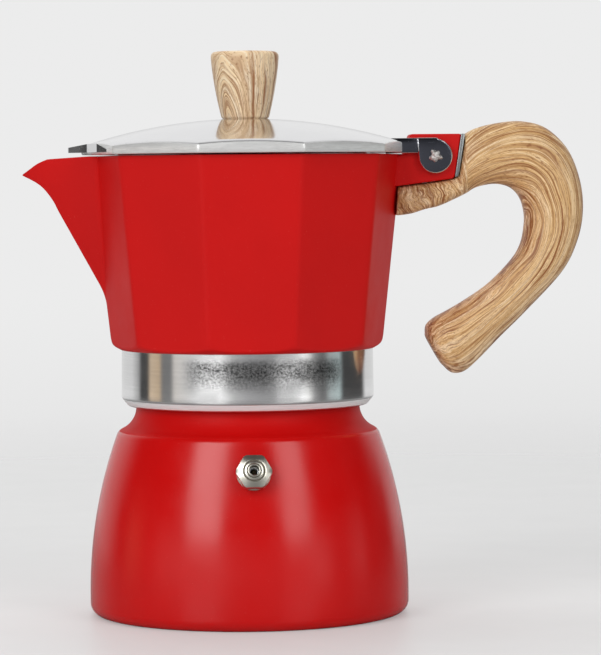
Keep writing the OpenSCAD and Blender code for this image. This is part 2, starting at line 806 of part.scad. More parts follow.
// ---------------------------------------------------------------- hinge pin
module hinge_pin() {
    color("#c9cacc") translate([hinge_x, 0, hinge_z]) rotate([90, 0, 0]) rotate_extrude()
        polygon([
            [0, -pin_half - pin_head_h], [pin_head_d / 2 - 0.5, -pin_half - pin_head_h],
            [pin_head_d / 2, -pin_half - 0.3], [pin_head_d / 2, -pin_half], [pin_r, -pin_half],
            [pin_r, pin_half], [pin_head_d / 2, pin_half], [pin_head_d / 2, pin_half + 0.3],
            [pin_head_d / 2 - 0.5, pin_half + pin_head_h], [0, pin_half + pin_head_h]
        ]);
}

// ---------------------------------------------------------------- handle
function rib_mix(a, b, c, d, t) = 0.5 * (2 * b + (c - a) * t
    + (2 * a - 5 * b + 4 * c - d) * t * t + (3 * b - a - 3 * c + d) * t * t * t);

last_rib = len(handle_ribs) - 1;
smooth_ribs = concat(
    [for (i = [0 : smooth_from - 1]) handle_ribs[i]],
    [for (i = [smooth_from : last_rib - 1], s = [0 : rib_steps - 1]) let (
        t = s / rib_steps,
        a = handle_ribs[max(i - 1, smooth_from)],
        b = handle_ribs[i],
        c = handle_ribs[i + 1],
        d = handle_ribs[min(i + 2, last_rib)]
    ) [for (k = [0 : 2]) rib_mix(a[k], b[k], c[k], d[k], t)]],
    [handle_ribs[last_rib]]
);

function rounded(v) = sign(v) * pow(abs(v), ring_power);

function handle_ring(rib) = let (
    mid = (rib[0] + rib[1]) / 2,
    arm = (rib[1] - rib[0]) / 2
) [for (k = [0 : ring_sides - 1]) let (
    a = 360 * k / ring_sides,
    p = mid + arm * rounded(sin(a))
) [hinge_x + p[0], handle_w / 2 * rib[2] * rounded(cos(a)), jug_top + p[1]]];

module handle() {
    color(wood) difference() {
        polyhedron(
            [for (rib = smooth_ribs) each handle_ring(rib)],
            tube_faces(len(smooth_ribs), ring_sides)
        );
        // mortise of the tang
        translate([boss_back_low - 1, -tang_w / 2 - 0.1, hinge_z - tang_h / 2 - 0.1])
            cube([tang_l + spacer_t + 2.5, tang_w + 0.2, tang_h + 0.2]);
        // handle screw with its counterbore
        translate([handle_screw_x, 0, boss_under - cut / 2]) cylinder(d = screw_d + 0.4, h = cut);
        translate([handle_screw_x, 0, screw_seat_z - cut])
            cylinder(d = screw_head_d + 0.6, h = cut);
    }
}

module handle_spacer() {
    color("#a9abae") difference() {
        rotate([90, 0, 0]) linear_extrude(height = boss_w, center = true) polygon([
            [boss_back_low, boss_low + boss_round], [boss_back, boss_top],
            [boss_back + spacer_t, boss_top], [boss_back_low + spacer_t, boss_low + boss_round]
        ]);
        translate([0, -tang_w / 2, hinge_z - tang_h / 2]) cube([cut * 2, tang_w, tang_h]);
    }
}

module handle_screw() {
    color("#b9bbbe") translate([handle_screw_x, 0, screw_seat_z])
        pan_screw(screw_tip_z - screw_seat_z);
}

boiler();
valve_body();
valve_washer();
valve_poppet();
valve_spring();
valve_retainer();
funnel();
funnel_stem();
funnel_screen();
gasket();
filter_plate();
threaded_collar();
jug();
riser_column();
lid();
lid_knob();
knob_insert();
knob_screw();
knob_washer();
hinge_pin();
handle();
handle_spacer();
handle_screw();
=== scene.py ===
"""Moka pot: the visible pieces, their finishes and a small studio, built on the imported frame."""
import math

import bmesh
import bpy
from mathutils import Matrix, Vector
from mathutils.kdtree import KDTree


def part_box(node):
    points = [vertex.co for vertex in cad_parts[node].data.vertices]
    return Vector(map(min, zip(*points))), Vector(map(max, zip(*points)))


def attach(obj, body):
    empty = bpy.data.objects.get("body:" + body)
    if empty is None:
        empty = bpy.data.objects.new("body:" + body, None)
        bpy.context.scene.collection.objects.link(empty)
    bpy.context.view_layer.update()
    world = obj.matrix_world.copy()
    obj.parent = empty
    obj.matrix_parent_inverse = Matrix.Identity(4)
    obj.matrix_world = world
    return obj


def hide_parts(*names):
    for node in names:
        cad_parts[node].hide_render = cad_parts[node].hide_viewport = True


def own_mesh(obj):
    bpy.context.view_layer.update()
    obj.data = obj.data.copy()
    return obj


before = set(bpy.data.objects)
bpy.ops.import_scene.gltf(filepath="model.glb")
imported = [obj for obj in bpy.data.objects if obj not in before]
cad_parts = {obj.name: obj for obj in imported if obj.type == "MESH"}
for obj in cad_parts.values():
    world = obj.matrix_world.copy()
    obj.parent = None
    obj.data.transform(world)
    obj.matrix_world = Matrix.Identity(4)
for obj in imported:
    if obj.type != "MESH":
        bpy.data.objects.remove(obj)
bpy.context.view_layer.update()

bl_info = {
    "name": "Moka pot",
    "version": (1, 0, 0),
    "blender": (4, 5, 0),
    "location": "View3D > Sidebar > Moka pot",
    "description": "Builds a stove-top moka pot, piece by piece",
    "category": "Add Mesh",
}

MM = 0.001
SIDES = 10                                  # flat sides of jug and lid
HALF_SIDE = math.pi / SIDES
FLAT = math.cos(HALF_SIDE)                  # a side's distance over its corner's


def width(node, axis=0):
    """A CAD node's size along an axis, in metres."""
    low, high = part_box(node)
    return high[axis] - low[axis]


def span(node):
    """A CAD node's lowest and highest point, in mm."""
    return [corner[2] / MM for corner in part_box(node)]


# ---------------------------------------------------------------- sizes and colours
def number(name, text, default, low, high, **kind):
    return bpy.props.FloatProperty(name=name, description=text, default=default, min=low,
                                   max=high, **kind)


def length(name, text, default, low, high):
    return number(name, text, default, low, high, unit="LENGTH")


def lean(name, text, degrees):
    return bpy.props.FloatProperty(name=name, description=text, default=math.radians(degrees),
                                   subtype="ANGLE")


def tint(name, text, *default):
    return bpy.props.FloatVectorProperty(name=name, description=text, subtype="COLOR", size=3,
                                         default=default, min=0.0, max=1.0)


class MokaSizes(bpy.types.PropertyGroup):
    """Sizes that can be changed without the rest of the pot."""

    foot_recess: length("Foot recess", "Depth of the turned hollow under the boiler",
                        0.0006, 0.0, 0.002)
    edge_softness: length("Edge softness", "Rounding of the turned and cast edges",
                          0.0004, 0.0001, 0.001)
    corner_power: number("Corner sharpness", "Higher values give the jug and lid crisper corners",
                         150.0, 40.0, 400.0)
    crease_blend: length("Spout crease", "Width over which the spout runs into the jug",
                         0.0014, 0.0002, 0.004)
    thread_pitch: length("Thread pitch", "Rise of the thread in one turn", 0.003, 0.002, 0.004)
    ear_step: length("Ear step", "How far the hinge ears stand proud of their arms",
                     0.0004, 0.0, 0.001)
    handle_width: length("Handle width", "Width of the handle across its sides",
                         width("handle", 1), 0.014, 0.022)
    turning_steps: bpy.props.IntProperty(
        name="Turning steps", description="Steps around each turned piece",
        default=128, min=32, max=256)


class MokaColours(bpy.types.PropertyGroup):
    """Colours of the finishes."""

    jug_red: tint("Jug red", "Matt enamel on the jug", 0.578, 0.003, 0.0025)
    boiler_red: tint("Boiler red", "Satin enamel on the boiler", 0.572, 0.0010, 0.0008)
    wood_ground: tint("Wood ground", "Ground colour of the wood print", 0.71, 0.445, 0.19)
    wood_vein: tint("Wood vein", "Dark veins of the wood print", 0.23, 0.062, 0.009)
    wood_light: tint("Wood light", "Pale veins of the wood print", 0.92, 0.70, 0.43)
    aluminium: tint("Aluminium", "Turned metal of funnel, threads and insides", 0.80, 0.80, 0.81)
    nickel: tint("Nickel", "Plating of the safety valve", 0.66, 0.64, 0.56)
    rubber: tint("Gasket", "Rubber of the seal", 0.74, 0.71, 0.64)


class MokaStudio(bpy.types.PropertyGroup):
    """Camera, floor and light."""

    distance: length("Camera distance", "From the pot's axis to the camera", 0.931, 0.3, 5.0)
    height: length("Camera height", "Of the lens above the floor", 0.124, 0.0, 2.0)
    azimuth: lean("Azimuth", "Camera's place around the pot", -2.0)
    turn: lean("Turn", "How far the camera looks past the pot's axis", 0.94)
    tilt: lean("Tilt", "How far the camera looks down", 2.6)
    roll: lean("Roll", "Lean of the camera about its own axis", 0.5)
    lens: number("Lens", "Focal length on a 36 mm sensor", 178.6, 20.0, 400.0)
    background: tint("Background", "Colour behind the pot", 0.838, 0.838, 0.838)
    floor_radius: length("Floor radius", "Where the floor has faded into the background",
                         0.9, 0.2, 5.0)
    lamp_power: number("Lamp power", "Power of the main softbox", 7.2, 0.0, 100.0, unit="POWER")


# ---------------------------------------------------------------- shaping
def softened(points, steps=3, closed=False):
    """A profile in mm whose corners, given as (r, z, rounding), become short arcs."""
    result = []
    for i, point in enumerate(points):
        ends = not closed and i in (0, len(points) - 1)
        if len(point) < 3 or ends:
            result.append(tuple(point[:2]))
            continue
        here = Vector(point[:2])
        before = Vector(points[i - 1][:2]) - here
        after = Vector(points[(i + 1) % len(points)][:2]) - here
        cut = min(point[2], before.length * 0.48, after.length * 0.48)
        start = here + before.normalized() * cut
        end = here + after.normalized() * cut
        for k in range(steps + 1):
            t = k / steps
            result.append(tuple(start.lerp(here, t).lerp(here.lerp(end, t), t)))
    return result


def arc(cx, cz, r, start, end, steps):
    """Points on an arc, with its angles in degrees."""
    angles = [math.radians(start + (end - start) * i / steps) for i in range(steps + 1)]
    return [(cx + r * math.cos(a), cz + r * math.sin(a)) for a in angles]


def turned(profile, steps, closed=True):
    """A turned shape: the profile in mm, softened and spun about the Z axis."""
    bm = bmesh.new()
    verts = [bm.verts.new((r * MM, 0, z * MM)) for r, z in softened(profile, closed=closed)]
    pairs = list(zip(verts, verts[1:]))
    if closed:
        pairs.append((verts[-1], verts[0]))
    edges = [bm.edges.new(pair) for pair in pairs]
    bmesh.ops.spin(bm, geom=verts + edges, cent=(0, 0, 0), axis=(0, 0, 1), dvec=(0, 0, 0),
                   angle=math.tau, steps=steps, use_merge=True, use_duplicate=False)
    bmesh.ops.remove_doubles(bm, verts=bm.verts, dist=1e-6)
    bmesh.ops.recalc_face_normals(bm, faces=bm.faces)
    return bm


def sharp_edges(bm):
    return [e for e in bm.edges
            if len(e.link_faces) == 2 and e.calc_face_angle() > math.radians(30.0)]


def rounded_edges(bm, edges, offset, segments):
    bmesh.ops.bevel(bm, geom=edges, offset=offset * MM, offset_type="OFFSET", segments=segments,
                    profile=0.5, affect="EDGES", clamp_overlap=True, material=-1)


def slab(outline, low, high, rounding, segments=3):
    """A plate across Y: an (x, z) outline in mm from y = low to y = high."""
    bm = bmesh.new()
    face = bm.faces.new([bm.verts.new((x * MM, low * MM, z * MM)) for x, z in outline])
    made = bmesh.ops.extrude_face_region(bm, geom=[face])
    far = [v for v in made["geom"] if isinstance(v, bmesh.types.BMVert)]
    bmesh.ops.translate(bm, verts=far, vec=(0, (high - low) * MM, 0))
    bmesh.ops.recalc_face_normals(bm, faces=bm.faces)
    if rounding:
        rounded_edges(bm, sharp_edges(bm), rounding, segments)
    return bm


def drill(radius, matrix, length=60, low=-30, steps=48):
    """A plain cylinder in mm to cut with."""
    return turned_at([(0, low), (radius, low), (radius, low + length), (0, low + length)],
                     matrix, steps, closed=False)


def moved(bm, matrix):
    bmesh.ops.transform(bm, matrix=matrix, verts=bm.verts)
    return bm


def turned_at(profile, matrix, steps, closed=True):
    return moved(turned(profile, steps, closed), matrix)


def mesh_of(name, bm):
    """A mesh of a shape, which is used up."""
    mesh = bpy.data.meshes.new(name)
    bm.to_mesh(mesh)
    bm.free()
    return mesh


def placed(name, data):
    """A new object in the scene."""
    obj = bpy.data.objects.new(name, data)
    bpy.context.scene.collection.objects.link(obj)
    return obj


def carved(bm, tool, operation="DIFFERENCE"):
    """The shape after a boolean with a tool shape. Both are used up."""
    shape, cutter = (placed("carving", mesh_of("carving", part)) for part in (bm, tool))
    modifier = shape.modifiers.new("carve", "BOOLEAN")
    modifier.operation = operation
    modifier.solver = "EXACT"
    modifier.object = cutter
    result = bmesh.new()
    result.from_object(shape, bpy.context.evaluated_depsgraph_get())
    for obj in (shape, cutter):
        mesh = obj.data
        bpy.data.objects.remove(obj)
        bpy.data.meshes.remove(mesh)
    return result


def joined(bm, other):
    """Adds another shape's faces to the first one."""
    mesh = mesh_of("joining", other)
    bm.from_mesh(mesh)
    bpy.data.meshes.remove(mesh)
    return bm


def skinned(rings, bands=None, wrap=False, caps=False, grain=None):
    """Lofts rings of equal length, in mm, each extruded from the one before.

    bands gives each band's material index, grain each vertex's place in the wood print.
    wrap joins the last ring to the first, caps closes both ends.
    """
    bm = bmesh.new()
    layer = bm.verts.layers.float_vector.new("grain") if grain else None
    row = bmesh.ops.create_circle(bm, cap_ends=False, radius=1.0, segments=len(rings[0]))["verts"]
    edges = list({e for v in row for e in v.link_edges})
    bands = bands or [0] * len(rings)
    loop_rings = rings + [rings[0]] if wrap else rings
    first = None
    for i, ring in enumerate(loop_rings):
        if i:
            made = bmesh.ops.extrude_edge_only(bm, edges=edges)["geom"]
            fresh = {v for v in made if isinstance(v, bmesh.types.BMVert)}
            row = [next(e.other_vert(v) for e in v.link_edges if e.other_vert(v) in fresh)
                   for v in row]
            edges = [e for e in made if isinstance(e, bmesh.types.BMEdge)
                     and e.verts[0] in fresh and e.verts[1] in fresh]
            for made_face in made:
                if isinstance(made_face, bmesh.types.BMFace):
                    made_face.material_index = bands[i - 1]
        for j, (vert, place) in enumerate(zip(row, ring)):
            vert.co = Vector(place) * MM
            if layer:
                vert[layer] = grain[i][j]
        if first is None:
            first = list(edges)
    if caps:
        bmesh.ops.holes_fill(bm, edges=first, sides=0)
        bmesh.ops.holes_fill(bm, edges=edges, sides=0)
    bmesh.ops.remove_doubles(bm, verts=bm.verts, dist=1e-6)
    bmesh.ops.recalc_face_normals(bm, faces=bm.faces)
    return bm


def piece(name, bm, body, slot, *finishes, replaces, sharp=32.0):
    """Makes an object of a shape, gives it its finishes and hangs it on its body."""
    mesh = mesh_of(name, bm)
    for finish_name in finishes:
        mesh.materials.append(FINISHES[finish_name])
    mesh.shade_smooth()
    mesh.set_sharp_from_angle(angle=math.radians(sharp))
    obj = placed(name, mesh)
    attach(obj, body)
    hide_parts(replaces)
    return obj


def blend_max(a, b, soft):
    """The larger of two radii, run together over a soft width."""
    h = max(soft - abs(a - b), 0.0) / soft
    return max(a, b) + h * h * soft * 0.25


def along(table, x):
    """Linear reading of a table of (x, value)."""
    if x <= table[0][0]:
        return table[0][1]
    for (xa, va), (xb, vb) in zip(table, table[1:]):
        if x <= xb:
            return va + (vb - va) * (x - xa) / (xb - xa)
    return table[-1][1]


# ---------------------------------------------------------------- shape of the pot, in mm
SHOULDER, BELLY = 51.5, 6.0                 # heights between which the boiler's bell runs
BELL_RADIUS = (8.0 ** 2 + (SHOULDER - BELLY) ** 2) / 16.0
BASE_RADIUS, NECK = 45.7, 32.0              # radii of the bell's widest place and of the neck
VALVE_HEIGHT = 43.45
HEX_FLAT = 4.5                              # the valve's axis to a flat of its hexagon
HEX_LOW, HEX_HIGH = 0.6, 4.2                # the hexagon's faces along that axis
VALVE_BORE = 1.95
NECK_PAINT, THREAD_LOW = 52.6, 62.3         # where the boiler's duller paint begins and ends
JUG_LOW, FLOOR, RIM = 76.0, 83.1, 131.2     # heights of the jug's foot, floor and rim
JUG_FLAT_LOW = 79.5                         # where the jug's flat sides begin
JUG_LOW_CORNER, JUG_RIM_CORNER = 39.3, 45.0
JUG_WALL, SPOUT_WALL, KEEL_WALL = 2.6, 1.5, 2.2
HINGE = (53.8, 130.5)                       # x and z of the lid's pin
SCREW_X = 0.051                             # the handle's screw, in metres
SPOUT_REACH = 63.7
SPOUT_TAN = math.tan(math.radians(19.0))    # half the spout's V seen from above
SPOUT_TIP = 0.6                             # half its width at the tip
# Spout, by distance from the axis: height of its keel, and its lip's drop below the rim
KEEL = [(34.0, 80.0), (40.08, 90.9), (53.8, 116.0), (55.2, 118.8), (57.9, 122.3), (60.6, 124.3),
        (SPOUT_REACH, 125.8)]
LIP_DROP = [(45.0, 0.0), (56.7, 0.7), (59.5, 1.9), (61.9, 3.6), (SPOUT_REACH, 4.9)]
LID_CORNER, LID_LOW, LID_WALL = 46.9, 131.6, 1.6
LID_BACK = 44.3                             # the lid's flat between its ears
LID_BORE = 2.2                              # radius of the hole for the knob's screw
TAB_LOW, TAB_THICK = 132.25, 2.25
LAND = 5.5                                  # radius of the lid's flat under the knob
DOME_RADIUS = 148.0
DOME_CENTRE = 134.0 - math.sqrt(DOME_RADIUS ** 2 - LID_CORNER ** 2)


def bell(z):
    """Outer radius of the boiler's bell."""
    return BASE_RADIUS - BELL_RADIUS + math.sqrt(BELL_RADIUS ** 2 - (z - BELLY) ** 2)


def dome(r):
    return DOME_CENTRE + math.sqrt(DOME_RADIUS ** 2 - r * r)


VALVE_TILT = math.asin((VALVE_HEIGHT - BELLY) / BELL_RADIUS)
VALVE_AXIS = (Matrix.Translation((0, -bell(VALVE_HEIGHT) * MM, VALVE_HEIGHT * MM))
              @ Matrix.Rotation(math.pi / 2 - VALVE_TILT, 4, "X"))
PIN_AXIS = (Matrix.Translation((HINGE[0] * MM, 0, HINGE[1] * MM))
            @ Matrix.Rotation(math.pi / 2, 4, "X"))


def corner_radius(z):
    """The jug's corner radius at a height."""
    share = (z - JUG_FLAT_LOW) / (RIM - JUG_FLAT_LOW)
    return JUG_LOW_CORNER + (JUG_RIM_CORNER - JUG_LOW_CORNER) * share


def polygon_radius(angle, apothem, power):
    """Radius of a regular polygon with a corner on +X and slightly rounded corners."""
    total = 0.0
    for side in range(SIDES):
        c = math.cos(angle - HALF_SIDE * (2 * side + 1))
        if c > 0.5:
            total += c ** power
    return apothem / total ** (1.0 / power)


def keel_height(x):
    return along(KEEL, x)


def lip_height(x):
    return RIM - along(LIP_DROP, x)


def narrowed(low, high, reached, steps):
    """Halves a range again and again; reached says whether its middle is still on the low side."""
    for _ in range(steps):
        middle = (low + high) / 2
        if reached(middle):
            low = middle
        else:
            high = middle
    return low, high


def spout_radius(turn, z, wall, lift):
    """Radius of the spout's V at an angle from its keel, less a wall and lifted off the keel."""
    slope = math.tan(abs(turn))

    def within(x):
        half = (SPOUT_REACH - x) * SPOUT_TAN + SPOUT_TIP - wall
        low = keel_height(x) + lift
        share = min(max((z - low) / max(lip_height(x) - low, 0.2), 0.0), 1.0)
        return half * share ** 0.8 - math.hypot(x * slope, 0.02) >= 0

    inner = 20.0
    if within(SPOUT_REACH):
        return SPOUT_REACH / math.cos(turn)
    if not within(inner):
        return 0.0
    return narrowed(inner, SPOUT_REACH, within, 22)[0] / math.cos(turn)


def jug_radius(angle, z, power, soft, inside=False):
    """Outer or inner radius of the jug's wall, with its spout at 180 degrees."""
    wall, side, keel = (JUG_WALL, SPOUT_WALL, KEEL_WALL) if inside else (0.0, 0.0, 0.0)
    radius = polygon_radius(angle, corner_radius(z) * FLAT - wall, power)
    turn = angle - math.pi
    if abs(turn) < math.radians(20.0):
        spout = spout_radius(turn, z, side, keel)
        if spout > radius - soft:
            radius = blend_max(radius, spout, soft)
    return radius


def side_turns():
    """Degrees around a body with flat sides, close together at its corners."""
    shares = [0, 0.012, 0.026, 0.042, 0.062, 0.09, 0.14, 0.22, 0.34, 0.5]
    shares += [1 - s for s in reversed(shares[1:-1])]
    return {round(360.0 / SIDES * (side + s), 3) for side in range(SIDES) for s in shares}


def jug_angles():
    """Angles of the jug's columns, also close together across the spout."""
    turns = {t for t in side_turns() if abs(t - 180.0) > 13.0}
    near = [0.15, 0.35, 0.6, 0.9, 1.2, 1.6, 2.0] + [2.5 + 0.5 * k for k in range(21)] + [12.9]
    turns |= {180.0} | {180.0 + side * t for t in near for side in (-1, 1)}
    return [math.radians(t) for t in sorted(turns)]


def place(angle, radius, z):
    return (radius * math.cos(angle), radius * math.sin(angle), z)


class Loft:
    """Rings over fixed angles, each with the material index of the band that leads up to it."""

    def __init__(self, angles):
        self.angles, self.rings, self.bands = angles, [], []

    def add(self, radii, heights, band=0):
        """One ring. A radius or a height is one for all angles, or a list."""
        radii, heights = (v if isinstance(v, list) else [v] * len(self.angles)
                          for v in (radii, heights))
        self.rings.append([place(*spot) for spot in zip(self.angles, radii, heights)])
        self.bands.append(band)

    def closed(self, band):
        return skinned(self.rings, self.bands[1:] + [band], wrap=True)


# Largest radius of the jug by height: its rounded foot, then no limit
FOOT_LIMIT = [(76.0, 36.3)] + [(z, r) for r, z in arc(36.0, 79.8, 3.5, -62, -12, 8)] + [
    (83.8, 45.6), (90.0, 60.0), (95.0, 90.0)]


def jug_shell(sizes):
    """The cast jug: foot, flat sides, spout, inside and the seats under its floor."""
    soft = sizes.crease_blend / MM
    edge = sizes.edge_softness / MM
    loft = Loft(jug_angles())

    def wall(heights, inside=False):
        return [jug_radius(a, z, sizes.corner_power, soft, inside)
                for a, z in zip(loft.angles, heights)]

    lips = [narrowed(lip_height(SPOUT_REACH), RIM, lambda z: z < lip_height(
        -jug_radius(a, z, sizes.corner_power, soft) * math.cos(a)), 20)[1] for a in loft.angles]
    shares = [0.0, 0.004, 0.009, 0.014, 0.02, 0.026, 0.032, 0.039, 0.047, 0.056, 0.066, 0.078,
              0.09, 0.105, 0.12, 0.14] + [0.14 + 0.86 * k / 46 for k in range(1, 47)]
    for share in shares:
        levels = [JUG_LOW + (lip - edge - JUG_LOW) * share for lip in lips]
        radii = wall(levels)
        for i, z in enumerate(levels):
            limit = along(FOOT_LIMIT, z)
            if radii[i] > limit - 1.0:
                radii[i] = -blend_max(-radii[i], -limit, 0.7)
        loft.add(radii, levels)
    outer, inner = wall(lips), wall(lips, True)
    for radii, back, drop, band in (
            (outer, -0.12, 0.3, 0), (outer, -0.35, 0.08, 0), (outer, -0.7, 0.0, 0),
            (inner, 0.9, 0.0, 1), (inner, 0.3, 0.1, 1), (inner, 0.0, 0.9, 1)):
        loft.add([r + edge * back for r in radii], [lip - edge * drop for lip in lips], band)
    deep = FLOOR + 3.0
    for k in range(1, 41):
        levels = [lip + (deep - lip) * k / 40 for lip in lips]
        loft.add(wall(levels, True), levels, 1)
    base = wall([deep] * len(lips), True)
    for inset, up in ((0.15, 1.9), (0.6, 1.0), (1.2, 0.45), (2.0, 0.1), (3.0, 0.0), (14.0, 0.0)):
        loft.add([r - inset for r in base], FLOOR + up, 1)
    for radius, z in ((12.0, FLOOR), (6.0, FLOOR), (6.0, 79.6), (25.2, 79.6), (25.5, 79.3),
                      (25.5, 77.9), (28.4, 77.9), (28.6, 77.7), (28.6, 77.0), (31.7, 77.0),
                      (32.0, 76.7), (32.0, 76.2), (32.2, 76.0)):
        loft.add(radius, z, 1)
    return loft.closed(1)


def hinge_boss(edge):
    """The boss behind the jug, drilled for the pin and the handle screw, with its tang."""
    outline = [(41.6, 121.8), (58.6, 123.95), (59.4, 124.3), (59.65, 125.2), (61.4, 136.8),
               (46.9, 136.8), (45.5, 131.25), (42.4, 130.8)]
    boss = slab(outline, -5.5, 5.5, edge * 1.6, 4)
    tang = slab([(60.0, 127.0), (69.0, 127.0), (69.0, 134.0), (60.8, 134.0)], -2.5, 2.5, 0.4, 2)
    boss = carved(boss, tang, "UNION")
    boss = carved(boss, drill(1.56, PIN_AXIS))
    return carved(boss, drill(2.0, Matrix.Translation((SCREW_X, 0, 0.1225)), length=5.0, low=-3.0))


def boiler_profile(sizes):
    """Outside from the foot's middle over bell and neck, then down the inside to the floor."""
    recess = sizes.foot_recess / MM
    wide = BASE_RADIUS - 45.0
    shoulder = (34.18 + wide, 50.47)        # middle of the 3 mm arc over the bell
    bend = math.radians(65.0)
    lip = (shoulder[0] + 3.0 * math.cos(bend), shoulder[1] + 3.0 * math.sin(bend))
    ease = (lip[0] - NECK) / (1.0 - math.cos(bend))
    outside = softened([(0, recess), (24.0, recess, 0.5), (25.0, recess * 0.35, 0.3),
                        (31.0, recess * 0.35, 0.3), (32.0, recess, 0.5), (36.0, recess, 0.4),
                        (37.0, 0.0, 0.3), (41.5 + wide, 0.0)])
    outside += arc(41.5 + wide, 3.5, 3.5, -80, 0, 8)
    outside += [(bell(z), z) for z in (BELLY + (SHOULDER - BELLY) * k / 30 for k in range(31))]
    outside += arc(*shoulder, 3.0, 28, 65, 6)[:-1]
    outside += arc(NECK + ease, lip[1] + ease * math.sin(bend), ease, 245, 180, 10)
    outside += softened([(NECK, 60.0), (NECK, 62.0, 0.3), (31.2, 62.8, 0.3), (31.2, 73.5, 0.2),
                         (30.7, 74.0, 0.2), (29.6, 74.0, 0.2), (29.6, 73.0, 0.15),
                         (28.0, 73.0, 0.3), (28.0, 56.6, 1.5), (bell(50.0) - 3.0, 50.0)])
    inside = [(bell(z) - 3.0, z) for z in [48.0 - 2.5 * k for k in range(16)] if z > 9.0]
    return outside + inside + arc(bell(8.0) - 7.0, 8.0, 4.0, 0, -90, 8) + [(0, 4.0)]


def helix(root, crest, low, pitch, turns, lean=1.0, steps=72):
    """A right-handed thread: one tooth lofted along its helix, run out at both ends."""
    tooth = [(root - 0.4 * lean, 0.0), (root, 0.0), (crest, 0.3), (crest, 0.52), (root, 0.82),
             (root - 0.4 * lean, 0.82)]
    rings = []
    count = int(steps * turns)
    for i in range(count + 1):
        turn = i / steps
        fade = min(1.0, 5.0 * turn, 5.0 * (turns - turn))
        angle = math.tau * turn
        rings.append([place(angle, root + (r - root) * (fade if (r - root) * lean > 0 else 1.0),
                            low + pitch * (turn + up)) for r, up in tooth])
    return skinned(rings, caps=True)


def coil(radius, wire, low, high, turns, steps=20, sides=8):
    """A spring on the valve's axis, lofted round its wire."""
    rings = []
    for i in range(turns * steps + 1):
        angle = math.tau * i / steps
        up = low + (high - low) * i / (turns * steps)
        rings.append([place(angle, radius + wire * math.cos(math.tau * k / sides),
                            up + wire * math.sin(math.tau * k / sides)) for k in range(sides)])
    return moved(skinned(rings, caps=True), VALVE_AXIS)


# Handle ribs: inner edge, outer edge as (x from the pin, z from the rim), share of the width
PRONG = [((-10.95, -16.9), (-10.5, -9.5), 0.56), ((-10.4, -17.6), (-9.9, -9.15), 0.62),
         ((-5.0, -16.8), (-4.6, -8.5), 0.66), ((1.4, -15.0), (1.6, -7.7), 0.7),
         ((5.6, -13.2), (5.5, -6.9), 0.74), ((8.2, -12.0), (7.0, -5.8), 0.76)]
HOOK = [((9.6, -11.3), (8.8, 5.4), 0.78), ((12.4, -9.7), (11.8, 7.0), 0.84),
        ((17.2, -8.8), (17.6, 8.5), 0.9), ((21.0, -9.4), (25.4, 9.1), 0.95),
        ((23.5, -11.0), (32.6, 7.0), 1.0), ((25.2, -13.6), (38.8, 0.8), 1.0),
        ((26.1, -17.2), (42.2, -8.0), 1.0), ((26.1, -20.7), (43.0, -16.8), 1.0),
        ((25.1, -25.8), (41.3, -25.4), 1.0), ((22.5, -30.4), (36.8, -34.2), 1.0),
        ((16.2, -36.9), (26.4, -45.3), 1.0), ((9.7, -41.5), (19.0, -52.5), 1.0),
        ((3.7, -45.0), (12.6, -59.0), 1.0), ((-0.2, -47.1), (8.4, -62.5), 0.97),
        ((-2.4, -49.2), (4.9, -62.9), 0.86), ((-2.7, -51.8), (2.4, -60.8), 0.62)]

FAN_LENGTH = 42.0                           # where the grain has turned along the handle
FRAYED_RIBS = 20                            # last ribs, where the grain breaks into short strokes


def between(a, b, c, d, t):
    """Catmull-Rom between b and c."""
    return 0.5 * (2 * b + (c - a) * t + (2 * a - 5 * b + 4 * c - d) * t * t
                  + (3 * b - a - 3 * c + d) * t ** 3)


def smooth_table(table, steps=5):
    """A finer table on a smooth curve through a table's points."""
    result = []
    for i in range(len(table) - 1):
        near = [table[max(i - 1, 0)], table[i], table[i + 1], table[min(i + 2, len(table) - 1)]]
        for s in range(steps):
            result.append(tuple(between(*values, s / steps) for values in zip(*near)))
    return result + [table[-1]]


KEEL = KEEL[:2] + smooth_table(KEEL[2:])
LIP_DROP = LIP_DROP[:1] + smooth_table(LIP_DROP[1:])


